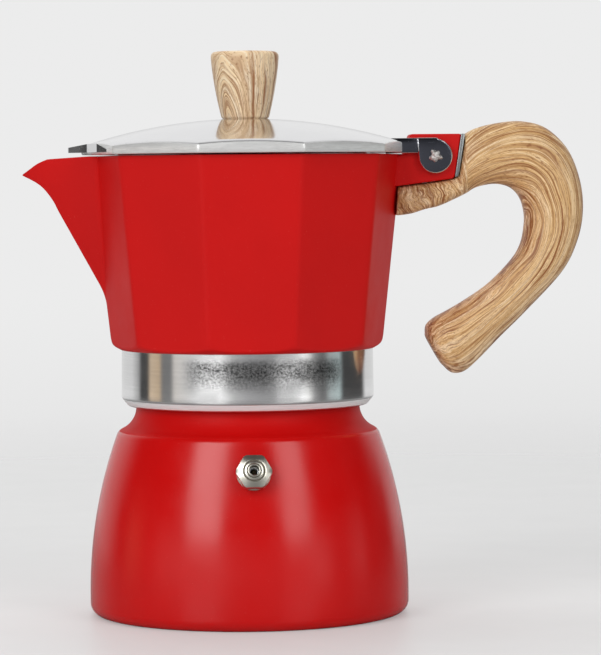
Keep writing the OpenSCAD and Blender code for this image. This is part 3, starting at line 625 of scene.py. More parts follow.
def handle_shell(sizes):
    """The hooked handle, lofted over its ribs, with each vertex's place in the wood print."""
    half = sizes.handle_width / MM / 2
    prong, hook = (smooth_table([(*inner, *outer, share) for inner, outer, share in ribs], steps)
                   for ribs, steps in ((PRONG, 4), (HOOK, 6)))
    ribs = prong + hook
    count = 56                              # points around each rib
    rings, grain, run, start, before = [], [], 0.0, 0.0, None
    for i, (ax, az, bx, bz, share) in enumerate(ribs):
        fullness = along([(0.66, 0.62), (0.8, 0.82)], share) if i < len(prong) + 12 else 0.82
        mid = Vector(((ax + bx) / 2, (az + bz) / 2))
        arm = Vector(((bx - ax) / 2, (bz - az) / 2))
        if before is not None:
            run += (mid - before).length
        before = mid
        if i == len(prong):
            start = run
        ring, marks = [], []
        for k in range(count):
            a = math.tau * k / count
            s, c = math.sin(a), math.cos(a)
            up = math.copysign(abs(s) ** fullness, s)
            out = math.copysign(abs(c) ** fullness, c)
            p = mid + arm * up
            ring.append((HINGE[0] + p.x, half * share * out, RIM + p.y))
            if i < len(prong):
                slant = run + 0.35 * arm.length * up
                marks.append((arm.length * up * 7.0, 15.0 - slant, 40.0 + out))
            else:
                fan = 6.5 * max(0.0, 1.0 - (run - start) / FAN_LENGTH) ** 1.5
                frayed = 16.0 * max(0.0, (i - len(ribs) + FRAYED_RIBS) / FRAYED_RIBS) ** 2
                marks.append((run, (8.5 + 0.2 * frayed) * up + fan,
                              half * share * out * 0.6 + frayed))
        rings.append(ring)
        grain.append(marks)
    middle = sum((Vector(p) for p in rings[-1]), Vector()) / count
    onward = (Vector(rings[-1][0]) - Vector(rings[-3][0])).normalized()
    end = rings[-1]
    for shrink, out in ((0.97, 0.25), (0.88, 0.5), (0.7, 0.65), (0.4, 0.72)):
        rings.append([tuple(middle.lerp(Vector(p), shrink) + onward * out) for p in end])
        grain.append([(run + out, m[1] * shrink, m[2]) for m in marks])
    return skinned(rings, caps=True, grain=grain)


# ---------------------------------------------------------------- finishes
class Signal:
    """What a node gives out, a number, a colour or a place, with plain arithmetic on it."""

    def __init__(self, socket):
        self.socket, self.tree = socket, socket.id_data

    def maths(self, operation, other=0.0):
        return signal(self.tree, "Math", {0: self, 1: other}, operation=operation)

    def __add__(self, other):
        return self.maths("ADD", other)

    def __sub__(self, other):
        return self.maths("SUBTRACT", other)

    def __mul__(self, other):
        return self.maths("MULTIPLY", other)

    def noise(self, scale, detail=2.0, rough=0.5, distortion=0.0):
        """Noise at this place; three scales stretch it along the axes."""
        at = self
        if isinstance(scale, tuple):
            at, scale = signal(self.tree, "Mapping", {"Vector": self, "Scale": scale}), 1.0
        return signal(self.tree, "TexNoise", {"Vector": at, "Scale": scale, "Detail": detail,
                                              "Roughness": rough, "Distortion": distortion})

    def remap(self, low, high, to_low=0.0, to_high=1.0, steps="LINEAR"):
        return signal(self.tree, "MapRange", {
            "Value": self, "From Min": low, "From Max": high, "To Min": to_low,
            "To Max": to_high}, interpolation_type=steps)

    def eased(self, low, high, to_low=0.0, to_high=1.0):
        """remap with soft ends."""
        return self.remap(low, high, to_low, to_high, "SMOOTHSTEP")

    def spread(self, low, high):
        """Spreads noise, which keeps between 0.3 and 0.7, over a range."""
        return self.remap(0.3, 0.7, low, high)

    def parts(self):
        """A place's x, y and z."""
        return [Signal(socket) for socket in node(self.tree, "SeparateXYZ", {0: self}).outputs]


def node(tree, kind, inputs=None, **settings):
    """Adds a shader node. An input takes a value, or the signal that feeds it."""
    made = tree.nodes.new("ShaderNode" + kind)
    for key, value in settings.items():
        setattr(made, key, value)
    for key, value in (inputs or {}).items():
        if isinstance(value, Signal):
            tree.links.new(value.socket, made.inputs[key])
        else:
            made.inputs[key].default_value = value
    return made


def signal(tree, kind, inputs=None, out=0, **settings):
    return Signal(node(tree, kind, inputs, **settings).outputs[out])


def mixed(factor, a, b):
    """Colour a turning into colour b."""
    return signal(factor.tree, "Mix", {0: factor, 6: a, 7: b}, out=2, data_type="RGBA")


def shaded(colour, factor):
    """A colour made lighter or darker by a factor around 1."""
    even = signal(colour.tree, "CombineColor", {0: factor, 1: factor, 2: factor})
    return signal(colour.tree, "Mix", {0: 1.0, 6: colour, 7: even}, out=2, data_type="RGBA",
                  blend_type="MULTIPLY")


def object_place(tree):
    return signal(tree, "TexCoord", out="Object")


def light_path(tree):
    return {socket.name: Signal(socket) for socket in node(tree, "LightPath").outputs}


def grey(tone):
    return (tone, tone, tone, 1.0)


def blank_material(name):
    """A new material, with its nodes and its Principled shader."""
    material = bpy.data.materials.new(name)
    material.use_nodes = True
    return material, material.node_tree, material.node_tree.nodes["Principled BSDF"]


def enamel(tree, given):
    """Sprayed enamel: slight orange peel, uneven film and fine specks."""
    at = object_place(tree)
    specks = at.noise(2600.0, 0.0).remap(0.80, 0.86)
    colour = shaded(given["Colour"], at.noise(28.0, 3.0).spread(0.955, 1.045))
    colour = mixed(specks * 0.12, colour, (0.75, 0.2, 0.18, 1))
    patchy = at.noise(90.0, 4.0, 0.6).spread(-0.035, 0.035)
    peel, fine = at.noise(950.0, 2.0, 0.55), at.noise(3200.0, 1.0)
    return colour, given["Gloss"] + patchy, peel * 0.75 + fine * 0.25


def turned_metal(tree, given):
    """Lathe-turned metal: fine grooves round the axis and short brushed dashes."""
    at = object_place(tree)
    x, y, z = at.parts()
    flat = signal(tree, "CombineXYZ", {0: x, 1: y})
    radius = signal(tree, "VectorMath", {0: flat}, out="Value", operation="LENGTH")
    groove = signal(tree, "CombineXYZ", {0: radius, 1: z}).noise(given["Grooves"], 3.0, 0.65)
    dashes = at.noise((210.0, 210.0, 2400.0), 3.0, 0.6)
    stains = at.noise((45.0, 45.0, 110.0), 4.0, 0.62)
    worn = dashes.remap(0.46, 0.62) * given["Wear"]
    colour = shaded(given["Colour"], groove.spread(0.93, 1.05) - worn * 0.22)
    rough = given["Gloss"] + stains.spread(-0.07, 0.09) + worn * 0.16
    return colour, rough, groove * 0.6 + dashes * 0.4


def cast_metal(tree, given):
    """Die-cast metal: grainy skin with darker water stains."""
    at = object_place(tree)
    grain = at.noise(1300.0, 3.0, 0.6)
    pits = at.noise(2400.0, 1.0).remap(0.68, 0.8)
    colour = shaded(given["Colour"], at.noise(60.0, 5.0, 0.65, 0.6).spread(0.82, 1.06))
    colour = mixed(pits * 0.35, colour, (0.25, 0.25, 0.26, 1))
    return colour, given["Gloss"] + grain.spread(-0.08, 0.1), grain - pits * 0.5


def polished_metal(tree, given):
    """Polished metal with wiping marks, hairline scratches and a little haze."""
    at = object_place(tree)
    haze = at.noise(55.0, 4.0, 0.6)
    wiped, across = at.noise((1900.0, 130.0, 600.0)), at.noise((160.0, 1700.0, 900.0))
    scratch = wiped.remap(0.66, 0.72).maths("MAXIMUM", across.remap(0.68, 0.74))
    colour = shaded(given["Colour"], haze.spread(0.965, 1.02))
    rough = given["Gloss"] + haze.remap(0.35, 0.7, -0.03, 0.07) + scratch * 0.12
    return colour, rough, wiped * 0.5 + across * 0.5


def rubber(tree, given):
    """Moulded rubber with a dusty bloom."""
    at = object_place(tree)
    bloom = at.noise(140.0, 4.0, 0.6)
    colour = shaded(given["Colour"], bloom.spread(0.9, 1.05))
    return colour, given["Gloss"] + bloom.spread(-0.08, 0.1), at.noise(2600.0)


def wood_print(tree, given):
    """Printed wood grain that runs along the piece's own grain attribute, in mm."""
    at = signal(tree, "Attribute", out="Vector", attribute_name="grain")
    run, lane, depth = at.parts()
    rim = lane.maths("ABSOLUTE").eased(3.6, 9.0).maths("MAXIMUM", depth.eased(4.0, 12.0))
    rim = rim * given["Edge"] * run.eased(38.0, 75.0, 0.45, 1.0)
    lane = lane + at.noise((0.028, 0.12, 0.1)).remap(0.2, 0.8, -2.0, 2.0)
    at = signal(tree, "CombineXYZ", {0: run, 1: lane, 2: depth})
    broad = at.noise((0.014, 0.42, 0.05), 3.0, 0.62)
    veins = at.noise((0.016, 1.5, 0.09), 4.0, 0.62)
    fine = at.noise((0.07, 3.0, 0.5), 3.0, 0.65)
    pores = at.noise((0.65, 6.0, 4.0))
    brown = broad.eased(0.47, 0.30) * 0.72 + rim * 0.34
    burnt = at.noise((0.12, 0.95, 0.25), 3.0, 0.62).eased(0.53, 0.42) * rim
    strength = at.noise((0.04, 0.25, 0.2)).remap(0.35, 0.62, 0.42, 1.0)
    dark = veins.eased(0.50, 0.41) * strength
    line = (veins - 0.57).maths("ABSOLUTE").eased(0.026, 0.006)
    colour, vein, light = (given[label] for label in ("Ground", "Vein", "Light"))
    for share, ink in ((brown.maths("MINIMUM", 0.8), vein), (broad.eased(0.50, 0.62), light),
                       (burnt * 0.95, vein), (dark * 0.9, vein), (line * 0.95, light),
                       (fine.remap(0.47, 0.30, 0.0, 0.72), vein),
                       (fine.remap(0.53, 0.70, 0.0, 0.72), light),
                       (pores.remap(0.56, 0.68) * 0.62, vein)):
        colour = mixed(share, colour, ink)
    height = fine * 0.4 - pores.remap(0.6, 0.7) * 0.6
    return colour, given["Gloss"] + fine.spread(-0.05, 0.07), height


def collar_metal(tree, given):
    """Polished band with fine turning lines, a mottled painted shade on the front of its upper
    half, where it is also rougher, and a painted highlight along its lower part.
    """
    at = object_place(tree)
    x, y, z = at.parts()
    lines = at.noise((25.0, 25.0, 3800.0), 3.0, 0.6)
    mottle = at.noise((1500.0, 1500.0, 1700.0), 4.0, 0.75)
    cloud = at.noise((70.0, 70.0, 160.0), 4.0, 0.65)
    # Mask of the front of the band's upper half, the side facing the camera: its colour is
    # darkened there as painted shade, and its roughness raised.
    rub_and_painted_shade = z.eased(0.0630, 0.0712) * z.eased(0.0726, 0.0753, 1.0, 0.1)
    rub_and_painted_shade = rub_and_painted_shade * y.eased(-0.018, -0.025) * x.eased(-0.0205, -0.0140)
    rub_and_painted_shade = rub_and_painted_shade * x.eased(0.0270, 0.0225) * cloud.remap(0.3, 0.62, 0.6, 1.0)
    # Painted shade: dark mottled spots, only inside that front mask.
    painted_shade_spots = mottle.remap(0.38, 0.60, 0.0, 0.55) * rub_and_painted_shade
    tone = lines.spread(0.95, 1.04) - painted_shade_spots - rub_and_painted_shade * 0.42
    # Painted highlight: the band's lower part is made lighter all round.
    tone = tone + z.eased(0.0625, 0.0690, 0.12, 0.0)
    rough = given["Gloss"] + rub_and_painted_shade * 0.16 + cloud.spread(-0.03, 0.05)
    return shaded(given["Colour"], tone), rough, lines * 0.3


EFFECTS, FINISHES = {}, {}


def effect(build, labels):
    """The node group of an effect: makes Colour, Roughness and Height out of its inputs."""
    if build in EFFECTS:
        return EFFECTS[build]
    tree = bpy.data.node_groups.new(build.__name__.replace("_", " ").capitalize(),
                                    "ShaderNodeTree")
    results = ("Colour", "Roughness", "Height")
    for way, names in (("INPUT", labels), ("OUTPUT", results)):
        for label in names:
            kind = "Color" if label in ("Colour", "Ground", "Vein", "Light") else "Float"
            tree.interface.new_socket(label, in_out=way, socket_type="NodeSocket" + kind)
    sources = tree.nodes.new("NodeGroupInput").outputs
    sinks = tree.nodes.new("NodeGroupOutput").inputs
    made = build(tree, {label: Signal(sources[label]) for label in labels})
    for label, value in zip(results, made):
        tree.links.new(value.socket, sinks[label])
    EFFECTS[build] = tree
    return tree


def finish(key, name, build, values, bump, depth, **shader):
    """A material: one effect feeds the Principled shader, whose own sockets take the constants."""
    material, tree, principled = blank_material(name)
    group = tree.nodes.new("ShaderNodeGroup")
    group.node_tree = effect(build, values)
    for label, value in values.items():
        group.inputs[label].default_value = (*value, 1.0) if hasattr(value, "__len__") else value
    tree.links.new(group.outputs["Colour"], principled.inputs["Base Color"])
    tree.links.new(group.outputs["Roughness"], principled.inputs["Roughness"])
    relief = node(tree, "Bump", {"Height": Signal(group.outputs["Height"]), "Strength": bump,
                                 "Distance": depth * MM})
    tree.links.new(relief.outputs[0], principled.inputs["Normal"])
    for label, value in shader.items():
        principled.inputs[label.replace("_", " ")].default_value = value
    if "Anisotropic" in shader:
        tangent = node(tree, "Tangent", direction_type="RADIAL", axis="Z")
        tree.links.new(tangent.outputs[0], principled.inputs["Tangent"])
    FINISHES[key] = material


def make_finishes(colours):
    def plain(colour, gloss):
        return {"Colour": tuple(colour), "Gloss": gloss}

    def lathed(colour, gloss, grooves, wear=0.3):
        return {**plain(colour, gloss), "Grooves": grooves, "Wear": wear}

    def printed(ground, vein, light, edge):
        return {"Ground": tuple(ground), "Vein": tuple(vein), "Light": tuple(light),
                "Gloss": 0.42, "Edge": edge}

    finish("jug_paint", "Jug enamel", enamel, plain(colours.jug_red, 0.5), 0.28, 0.05,
           Specular_IOR_Level=0.18)
    finish("boiler_paint", "Boiler enamel", enamel, plain(colours.boiler_red, 0.23), 0.2, 0.05,
           Specular_IOR_Level=0.45)
    finish("neck_paint", "Neck enamel", enamel, plain(colours.boiler_red, 0.5), 0.2, 0.05,
           Specular_IOR_Level=0.12)
    finish("band", "Turned collar", collar_metal, plain((0.84, 0.84, 0.84), 0.15), 0.25, 0.02,
           Metallic=1.0, Anisotropic=0.75, Anisotropic_Rotation=0.25)
    # The collar's lower bevel: its turned aluminium made near-white and mostly unmetallic, a
    # painted highlight.
    finish("chamfer", "Chamfer painted light", turned_metal, lathed((0.91, 0.97, 0.97), 0.4, 1500.0),
           0.2, 0.02, Metallic=0.2)
    finish("turned", "Turned aluminium", turned_metal, lathed(colours.aluminium, 0.3, 1500.0),
           0.3, 0.03, Metallic=1.0)
    finish("cast", "Cast aluminium", cast_metal, plain((0.72, 0.72, 0.73), 0.42), 0.35, 0.04,
           Metallic=1.0)
    finish("lid", "Polished lid", polished_metal, plain((0.86, 0.86, 0.87), 0.1), 0.05, 0.01,
           Metallic=1.0)
    finish("lid_edge", "Brushed lid edge", turned_metal,
           lathed((0.84, 0.84, 0.83), 0.36, 1800.0, 0.5), 0.4, 0.03, Metallic=0.55)
    # Flat sides of the ears and arms: the lid's polished aluminium given a near-black colour, a
    # painted dark reflection.
    finish("ear", "Ears painted dark", polished_metal, plain((0.11, 0.115, 0.14), 0.15), 0.12, 0.02,
           Metallic=1.0)
    finish("nickel", "Nickel plating", polished_metal, plain(colours.nickel, 0.3), 0.12, 0.02,
           Metallic=1.0)
    finish("steel", "Brushed steel", turned_metal,
           lathed((0.62, 0.63, 0.65), 0.3, 2200.0, 0.4), 0.25, 0.02, Metallic=1.0)
    finish("spacer", "Spacer plate", turned_metal, lathed((0.34, 0.36, 0.36), 0.4, 2200.0),
           0.2, 0.02, Metallic=1.0)
    finish("pin", "Peened steel", cast_metal, plain((0.80, 0.77, 0.74), 0.4), 1.0, 0.6,
           Metallic=1.0)
    # The poppet's brass made near-black: painted shade for the dark bore it sits in.
    finish("brass_painted_dark", "Brass painted dark", cast_metal, plain((0.10, 0.075, 0.045), 0.55),
           0.2, 0.02, Metallic=0.6)
    finish("brass", "Brass", turned_metal, lathed((0.72, 0.50, 0.20), 0.28, 1800.0), 0.2, 0.02,
           Metallic=1.0)
    finish("rubber", "Gasket rubber", rubber, plain(colours.rubber, 0.6), 0.3, 0.03,
           Specular_IOR_Level=0.35)
    finish("wood", "Handle wood", wood_print,
           printed(colours.wood_ground, colours.wood_vein, colours.wood_light, 1.0), 0.12, 0.05,
           Specular_IOR_Level=0.35)
    finish("knob_wood", "Knob wood", wood_print,
           printed((0.95, 0.72, 0.45), (0.30, 0.095, 0.02), (0.98, 0.84, 0.63), 0.0), 0.12, 0.05,
           Specular_IOR_Level=0.35)


# ---------------------------------------------------------------- pieces
def coloured(bm, choose):
    """Sets each face's material index from its centre's radius and height in mm."""
    for face in bm.faces:
        c = face.calc_center_median() / MM
        face.material_index = choose(math.hypot(c.x, c.y), c.z)
    return bm


def refinish(finish_name, *nodes):
    """Gives CAD nodes that stay in view a worked finish."""
    for name in nodes:
        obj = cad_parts[name]
        if not obj.material_slots:
            obj.data.materials.append(FINISHES[finish_name])
        for slot in obj.material_slots:
            slot.material = FINISHES[finish_name]


class MOKA_OT_finishes(bpy.types.Operator):
    """Makes the finishes that the pieces share"""

    bl_idname = "moka.finishes"
    bl_label = "Finishes"

    def execute(self, context):
        make_finishes(context.scene.moka_colours)
        return {"FINISHED"}


class MOKA_OT_boiler(bpy.types.Operator):
    """Builds the boiler: bell, shoulder, threaded neck and the valve's seat"""

    bl_idname = "moka.boiler"
    bl_label = "Boiler"

    def execute(self, context):
        sizes = context.scene.moka_sizes
        bm = turned(boiler_profile(sizes), sizes.turning_steps, closed=False)
        boss = turned_at([(0, -6.5), (6.4, -6.5, 0.6), (6.4, -1.5), (0, -1.5)], VALVE_AXIS, 48,
                         closed=False)
        bm = carved(bm, boss, "UNION")
        bm = carved(bm, drill(3.4, VALVE_AXIS, length=40, low=-8))

        def coat(r, z):
            """Turned threads and underside, cast inside, and paint that is duller on the neck."""
            if z < 1.0 and r < 41.0 or z > THREAD_LOW:
                return 2
            inside = bell(z) - 1.4 if z < SHOULDER else 34.0 if z < 53.0 else 29.5
            if r < inside and z > 1.0 and not (z < 3.9 and r > 30.0):
                return 1
            return 3 if z > NECK_PAINT else 0

        coloured(bm, coat)
        thread = helix(31.2, 32.0, 62.9, sizes.thread_pitch / MM, 2.6)
        joined(bm, coloured(thread, lambda r, z: 2))
        piece("boiler_shell", bm, "boiler", "boiler_paint", "boiler_paint", "cast", "turned",
              "neck_paint", replaces="boiler")
        return {"FINISHED"}


def valve_body():
    """The valve's chamfered and dished hexagon, with its boss and its threaded shank."""
    corner = HEX_FLAT / math.cos(math.radians(30))
    head = skinned([[place(math.tau * k / 6, corner, w) for k in range(6)]
                    for w in (HEX_LOW, HEX_HIGH)], caps=True)
    limit = turned([(0, HEX_LOW), (4.7, HEX_LOW), (5.02, 0.9, 0.1), (5.02, 3.4, 0.15),
                    (3.35, 4.12, 0.5), (3.0, HEX_HIGH), (0, HEX_HIGH)], 72, closed=False)
    head = carved(head, limit, "INTERSECT")
    head = carved(head, turned([(0, 3.6), (3.0, 3.6), (3.15, 4.3), (0, 4.3)], 64, closed=False))
    head = carved(head, drill(VALVE_BORE, Matrix(), length=30, low=-10))
    boss = turned([(VALVE_BORE, 3.4), (2.75, 3.4), (2.75, 4.6, 0.3), (2.05, 4.8, 0.2),
                   (VALVE_BORE, 4.6)], 64)
    shank = [(1.2, -7.5), (2.9, -7.5), (3.4, -7.0)]
    for k in range(7):
        w = -6.6 + k * 0.9
        shank += [(3.4, w), (3.0, w + 0.3), (3.0, w + 0.4), (3.4, w + 0.7)]
    shank += [(3.4, 0.7), (VALVE_BORE, 0.7), (VALVE_BORE, -5.9), (1.2, -5.9)]
    return moved(joined(joined(head, boss), turned(shank, 48)), VALVE_AXIS)


class MOKA_OT_valve(bpy.types.Operator):
    """Builds the safety valve: washer, chamfered hexagon, boss and shank"""

    bl_idname = "moka.valve"
    bl_label = "Safety valve"

    def execute(self, context):
        washer = [(3.45, -0.4, 0.1), (4.8, -0.4, 0.15), (4.8, 0.6, 0.3), (3.45, 0.6, 0.1)]
        piece("valve_seat_washer", turned_at(washer, VALVE_AXIS, 64), "boiler", "valve_metal",
              "nickel", replaces="valve_washer")
        ring = turned_at([(1.25, 3.6), (1.93, 3.6), (1.93, 4.7)] + arc(1.6, 4.75, 0.34, 0, 180, 10)
                         + [(1.25, 4.7)], VALVE_AXIS, 48)
        piece("valve_end_ring", ring, "boiler", "valve_metal", "nickel",
              replaces="valve_retainer")
        piece("valve_hexagon", valve_body(), "boiler", "valve_metal", "nickel",
              replaces="valve_body", sharp=24.0)
        poppet = [(0, -6.9), (1.05, -6.9, 0.2), (1.05, -5.85), (1.6, -5.85, 0.15),
                  (1.6, -4.25, 0.15), (0.6, -4.25), (0.6, 2.1, 0.2), (0, 2.1)]
        # Its finish is brass painted dark, as shade inside the valve's bore.
        piece("poppet_stem", turned_at(poppet, VALVE_AXIS, 32, closed=False), "valve_piston",
              "brass", "brass_painted_dark", replaces="valve_poppet")
        spring = piece("coil_spring", coil(1.25, 0.25, -4.0, 3.35, 6), "boiler", "steel",
                       "steel", replaces="valve_spring")
        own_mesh(spring)
        return {"FINISHED"}


class MOKA_OT_funnel(bpy.types.Operator):
    """Builds the coffee funnel and its stem, and finishes its perforated disc"""

    bl_idname = "moka.funnel"
    bl_label = "Funnel"

    def execute(self, context):
        steps = context.scene.moka_sizes.turning_steps
        wall = [(29.4, 73.0, 0.2), (29.4, 73.9, 0.3), (26.8, 73.9, 0.7), (26.8, 56.0, 0.3),
                (25.8, 56.0, 0.2), (25.8, 55.2, 0.3), (3.7, 48.0, 0.8), (3.7, 44.0), (4.5, 44.0),
                (4.5, 47.4, 0.8), (27.6, 54.6, 0.8), (27.6, 73.0, 0.3)]
        piece("funnel_basket", turned(wall, steps), "funnel", "bare_aluminium", "turned",
              replaces="funnel")
        stem = [(3.7, 9.0, 0.2), (4.5, 9.0, 0.2), (4.5, 42.0, 0.3), (5.0, 42.5, 0.3),
                (5.0, 43.5, 0.3), (4.5, 44.0), (3.7, 44.0)]
        piece("funnel_tube", turned(stem, 64), "funnel", "bare_aluminium", "turned",
              replaces="funnel_stem")
        refinish("steel", "funnel_screen")
        return {"FINISHED"}


class MOKA_OT_seal(bpy.types.Operator):
    """Builds the rubber gasket and finishes the filter plate that it holds"""

    bl_idname = "moka.seal"
    bl_label = "Seal"

    def execute(self, context):
        steps = context.scene.moka_sizes.turning_steps
        low, high = span("gasket")
        ring = [(25.5, low, 0.5), (31.7, low, 0.5), (31.7, high, 0.5), (25.5, high, 0.5)]
        piece("gasket_ring", turned(ring, steps), "seal", "gasket_rubber", "rubber",
              replaces="gasket")
        refinish("steel", "filter_plate")
        return {"FINISHED"}


class MOKA_OT_collar(bpy.types.Operator):
    """Builds the bare collar with its bevels and inner thread"""

    bl_idname = "moka.collar"
    bl_label = "Threaded collar"

    def execute(self, context):
        sizes = context.scene.moka_sizes
        r = width("threaded_collar") / MM / 2
        side = [(r - 0.12, 75.9, 0.08), (r - 0.06, 70.0), (r - 0.02, 66.0), (r + 0.02, 64.0)]
        profile = [(33.1, 76.0, 0.1), (r - 0.1, 76.0, 0.05), *side, (r + 0.03, 62.2, 0.4),
                   (r - 1.9, 59.9, 0.5), (33.1, 59.9, 0.4)]
        # Bore and thread take turned metal, the lower bevel the finish painted light as a
        # highlight, the rest the band.
        bm = coloured(turned(profile, sizes.turning_steps),
                      lambda radius, z: 1 if radius < 34.6 else 2 if z < 61.9 else 0)
        thread = helix(33.1, 32.3, 64.4, sizes.thread_pitch / MM, 2.6, lean=-1.0)
        joined(bm, coloured(thread, lambda radius, z: 1))
        piece("collar_band", bm, "jug", "turned_aluminium", "band", "turned", "chamfer",
              replaces="threaded_collar")
        return {"FINISHED"}


class MOKA_OT_jug(bpy.types.Operator):
    """Builds the cast jug with its spout, its hinge boss and the plate behind it"""

    bl_idname = "moka.jug"
    bl_label = "Jug"

    def execute(self, context):
        sizes = context.scene.moka_sizes
        bm = joined(jug_shell(sizes), hinge_boss(sizes.edge_softness / MM))
        piece("jug_shell", bm, "jug", "jug_paint", "jug_paint", "cast", replaces="jug", sharp=40.0)
        plate = slab([(59.55, 124.4), (60.5, 124.6), (60.9, 126.2), (62.5, 136.8), (61.45, 136.8),
                      (59.75, 125.6)], -5.5, 5.5, 0.18, 2)
        piece("spacer_plate", plate, "jug", "steel", "spacer", replaces="handle_spacer")
        return {"FINISHED"}


class MOKA_OT_riser(bpy.types.Operator):
    """Builds the column that the coffee rises through, with its two outlets"""

    bl_idname = "moka.riser"
    bl_label = "Riser column"

    def execute(self, context):
        top = span("riser_column")[1]
        profile = [(0, 115.1), (3.0, 115.1, 0.4), (3.0, 79.6, 0.3), (6.0, 79.6, 0.3), (6.0, FLOOR),
                   (7.5, FLOOR, 0.1), (7.5, 85.1, 0.8), (5.0, top - 2.5, 0.5),
                   (4.2, top - 0.8, 0.5), (2.6, top, 0.5), (0, top)]
        column = turned(profile, 64, closed=False)
        outlets = slab([(-9, 109.1), (9, 109.1), (9, 114.2), (8.2, 115.1), (-8.2, 115.1),
                        (-9, 114.2)], -1.8, 1.8, 0)
        piece("riser_tube", carved(column, outlets), "jug", "bare_aluminium", "cast",
              replaces="riser_column")
        return {"FINISHED"}


def lid_radius(angle, power):
    """The lid's outer radius: the polygon, cut off flat between its ears."""
    radius = polygon_radius(angle, LID_CORNER * FLAT, power)
    turn = (angle + math.pi) % math.tau - math.pi
    if abs(turn) < math.radians(16.0):
        radius = -blend_max(-radius, -LID_BACK / math.cos(turn), 0.2)
    return radius


def lid_shell(sizes):
    """The lid: land under the knob, dome, rounded edge, rim and hollow inside."""
    power = sizes.corner_power * 4.5
    edge = sizes.edge_softness / MM
    near = (7.5, 8.5, 9.3, 9.7, 9.9, 10.1, 10.4, 11.0)
    turns = side_turns() | {side * t % 360.0 for t in near for side in (1, -1)}
    loft = Loft([math.radians(t) for t in sorted(turns)])
    outer = [lid_radius(a, power) for a in loft.angles]
    inner = [r - 1.65 for r in outer]
    land, start = dome(LAND), LAND + 0.3
    loft.add(LID_BORE, land)
    loft.add(LAND - 0.3, land)
    loft.add(start, dome(start))
    for k in range(1, 21):
        radii = [start + (r - edge * 1.6 - start) * k / 20 for r in outer]
        loft.add(radii, [dome(r) for r in radii])
    for back, drop, band in ((0.9, 0.06, 0), (0.3, 0.4, 1), (0.0, 1.1, 1)):
        loft.add([r - edge * back for r in outer], [dome(r) - edge * drop for r in outer], band)
    for back, up in ((0.0, 0.9), (0.25, 0.25), (0.9, 0.0)):
        loft.add([r - edge * back for r in outer], LID_LOW + edge * up, 1)
    loft.add([r + 0.3 for r in inner], LID_LOW, 2)
    loft.add(inner, LID_LOW + 0.3, 2)
    for k in range(13):
        radii = [r + (5.5 - r) * k / 12 if k else r - 0.25 for r in inner]
        loft.add(radii, [DOME_CENTRE + math.sqrt((DOME_RADIUS - LID_WALL) ** 2 - r * r)
                         - (0.0 if k else 0.25) for r in radii], 2)
    loft.add(5.2, land - LID_WALL, 2)
    loft.add(LID_BORE, land - LID_WALL, 2)
    return loft.closed(2)


UPRIGHT = Matrix(((1, 0, 0, 0), (0, 0, 1, 0), (0, 1, 0, 0), (0, 0, 0, 1)))


def spout_tab():
    """The thumb tab over the spout: rounded in plan, its gussets run out on the lid's edge."""
    side = [(-39.3, -23.0), (-42.4, -18.4, 0.25), (-45.1, -9.1, 0.25), (-50.7, -0.8, 0.4)]
    plan = softened([(-36.0, -23.0)] + side + [(x, -y, *r) for x, y, *r in reversed(side)]
                    + [(-36.0, 23.0)], closed=True, steps=5)
    bm = moved(slab(plan, TAB_LOW, TAB_LOW + TAB_THICK, 0), UPRIGHT)
    for vert in bm.verts:
        x, y = vert.co.x / MM, abs(vert.co.y / MM)
        if vert.co.z > (TAB_LOW + 0.75) * MM:
            thick = along([(-50.7, 1.45), (-45.1, 2.4), (-42.4, 2.45), (-39.3, 0.6)], x)
            vert.co.z = (TAB_LOW + (0.6 if x > -37.0 else thick)) * MM
    bmesh.ops.recalc_face_normals(bm, faces=bm.faces)
    within = (LID_CORNER * FLAT - 0.9) / FLAT
    corners = [(within * math.cos(2 * HALF_SIDE * k), within * math.sin(2 * HALF_SIDE * k))
               for k in range(SIDES)]
    hollow = moved(slab(corners, LID_LOW - 2.0, LID_LOW + 1.8, 0), UPRIGHT)
    bmesh.ops.recalc_face_normals(hollow, faces=hollow.faces)
    return carved(bm, hollow)


class MOKA_OT_lid(bpy.types.Operator):
    """Builds the domed lid with its spout tab and its two hinge ears"""

    bl_idname = "moka.lid"
    bl_label = "Lid"

    def execute(self, context):
        bm = joined(lid_shell(context.scene.moka_sizes), spout_tab())
        step = context.scene.moka_sizes.ear_step / MM
        x, z = HINGE
        ear = [(x - 5.3, z + 5.2), (x + 0.5, z + 5.2)] + arc(x, z, 4.9, 78, -168, 40)
        arm = [(40.6, z + 0.9), (x - 4.5, z + 0.9), (x - 4.5, z + 5.15), (40.6, z + 5.15)]
        for low, high in ((5.8, 7.8), (-7.8, -5.8)):
            inset = step if low > 0 else 0.0
            plate = slab(ear, low, high, 0.45, 4)
            link = slab(arm, low + (step - inset), high - inset, 0.3, 3)
            for part in (carved(plate, drill(1.5, PIN_AXIS)), link):
                part.normal_update()
                for face in part.faces:
                    # Flat sides of the ears and arms take the ear finish, painted dark as a
                    # reflection; their edges keep the lid's polish.
                    face.material_index = 3 if abs(face.normal.y) > 0.93 else 0
                joined(bm, part)
        piece("lid_dome", bm, "lid", "polished_aluminium", "lid", "lid_edge", "turned", "ear",
              replaces="lid")
        return {"FINISHED"}


ARCH_TURN = math.radians(-134.0)            # where the knob's nested arches stand
ARCH_HEIGHT, ARCH_WIDTH = 146.0, 5.0


def knob_grain(position):
    """Place in the wood print: nested arches on one side, straight lines on the others."""
    x, y, z = position
    across = 2.0 * 8.4 * math.sin((math.atan2(y, x) - ARCH_TURN) / 2.0)
    rise = 0.40 * (z - ARCH_HEIGHT) * math.exp(-(across / ARCH_WIDTH) ** 2)
    lane = math.hypot(across, 0.9) + rise
    radius = math.hypot(x, y)
    return (z * 1.2, lane * 1.1 + (8.0 - radius) * 0.25, across * 0.25)


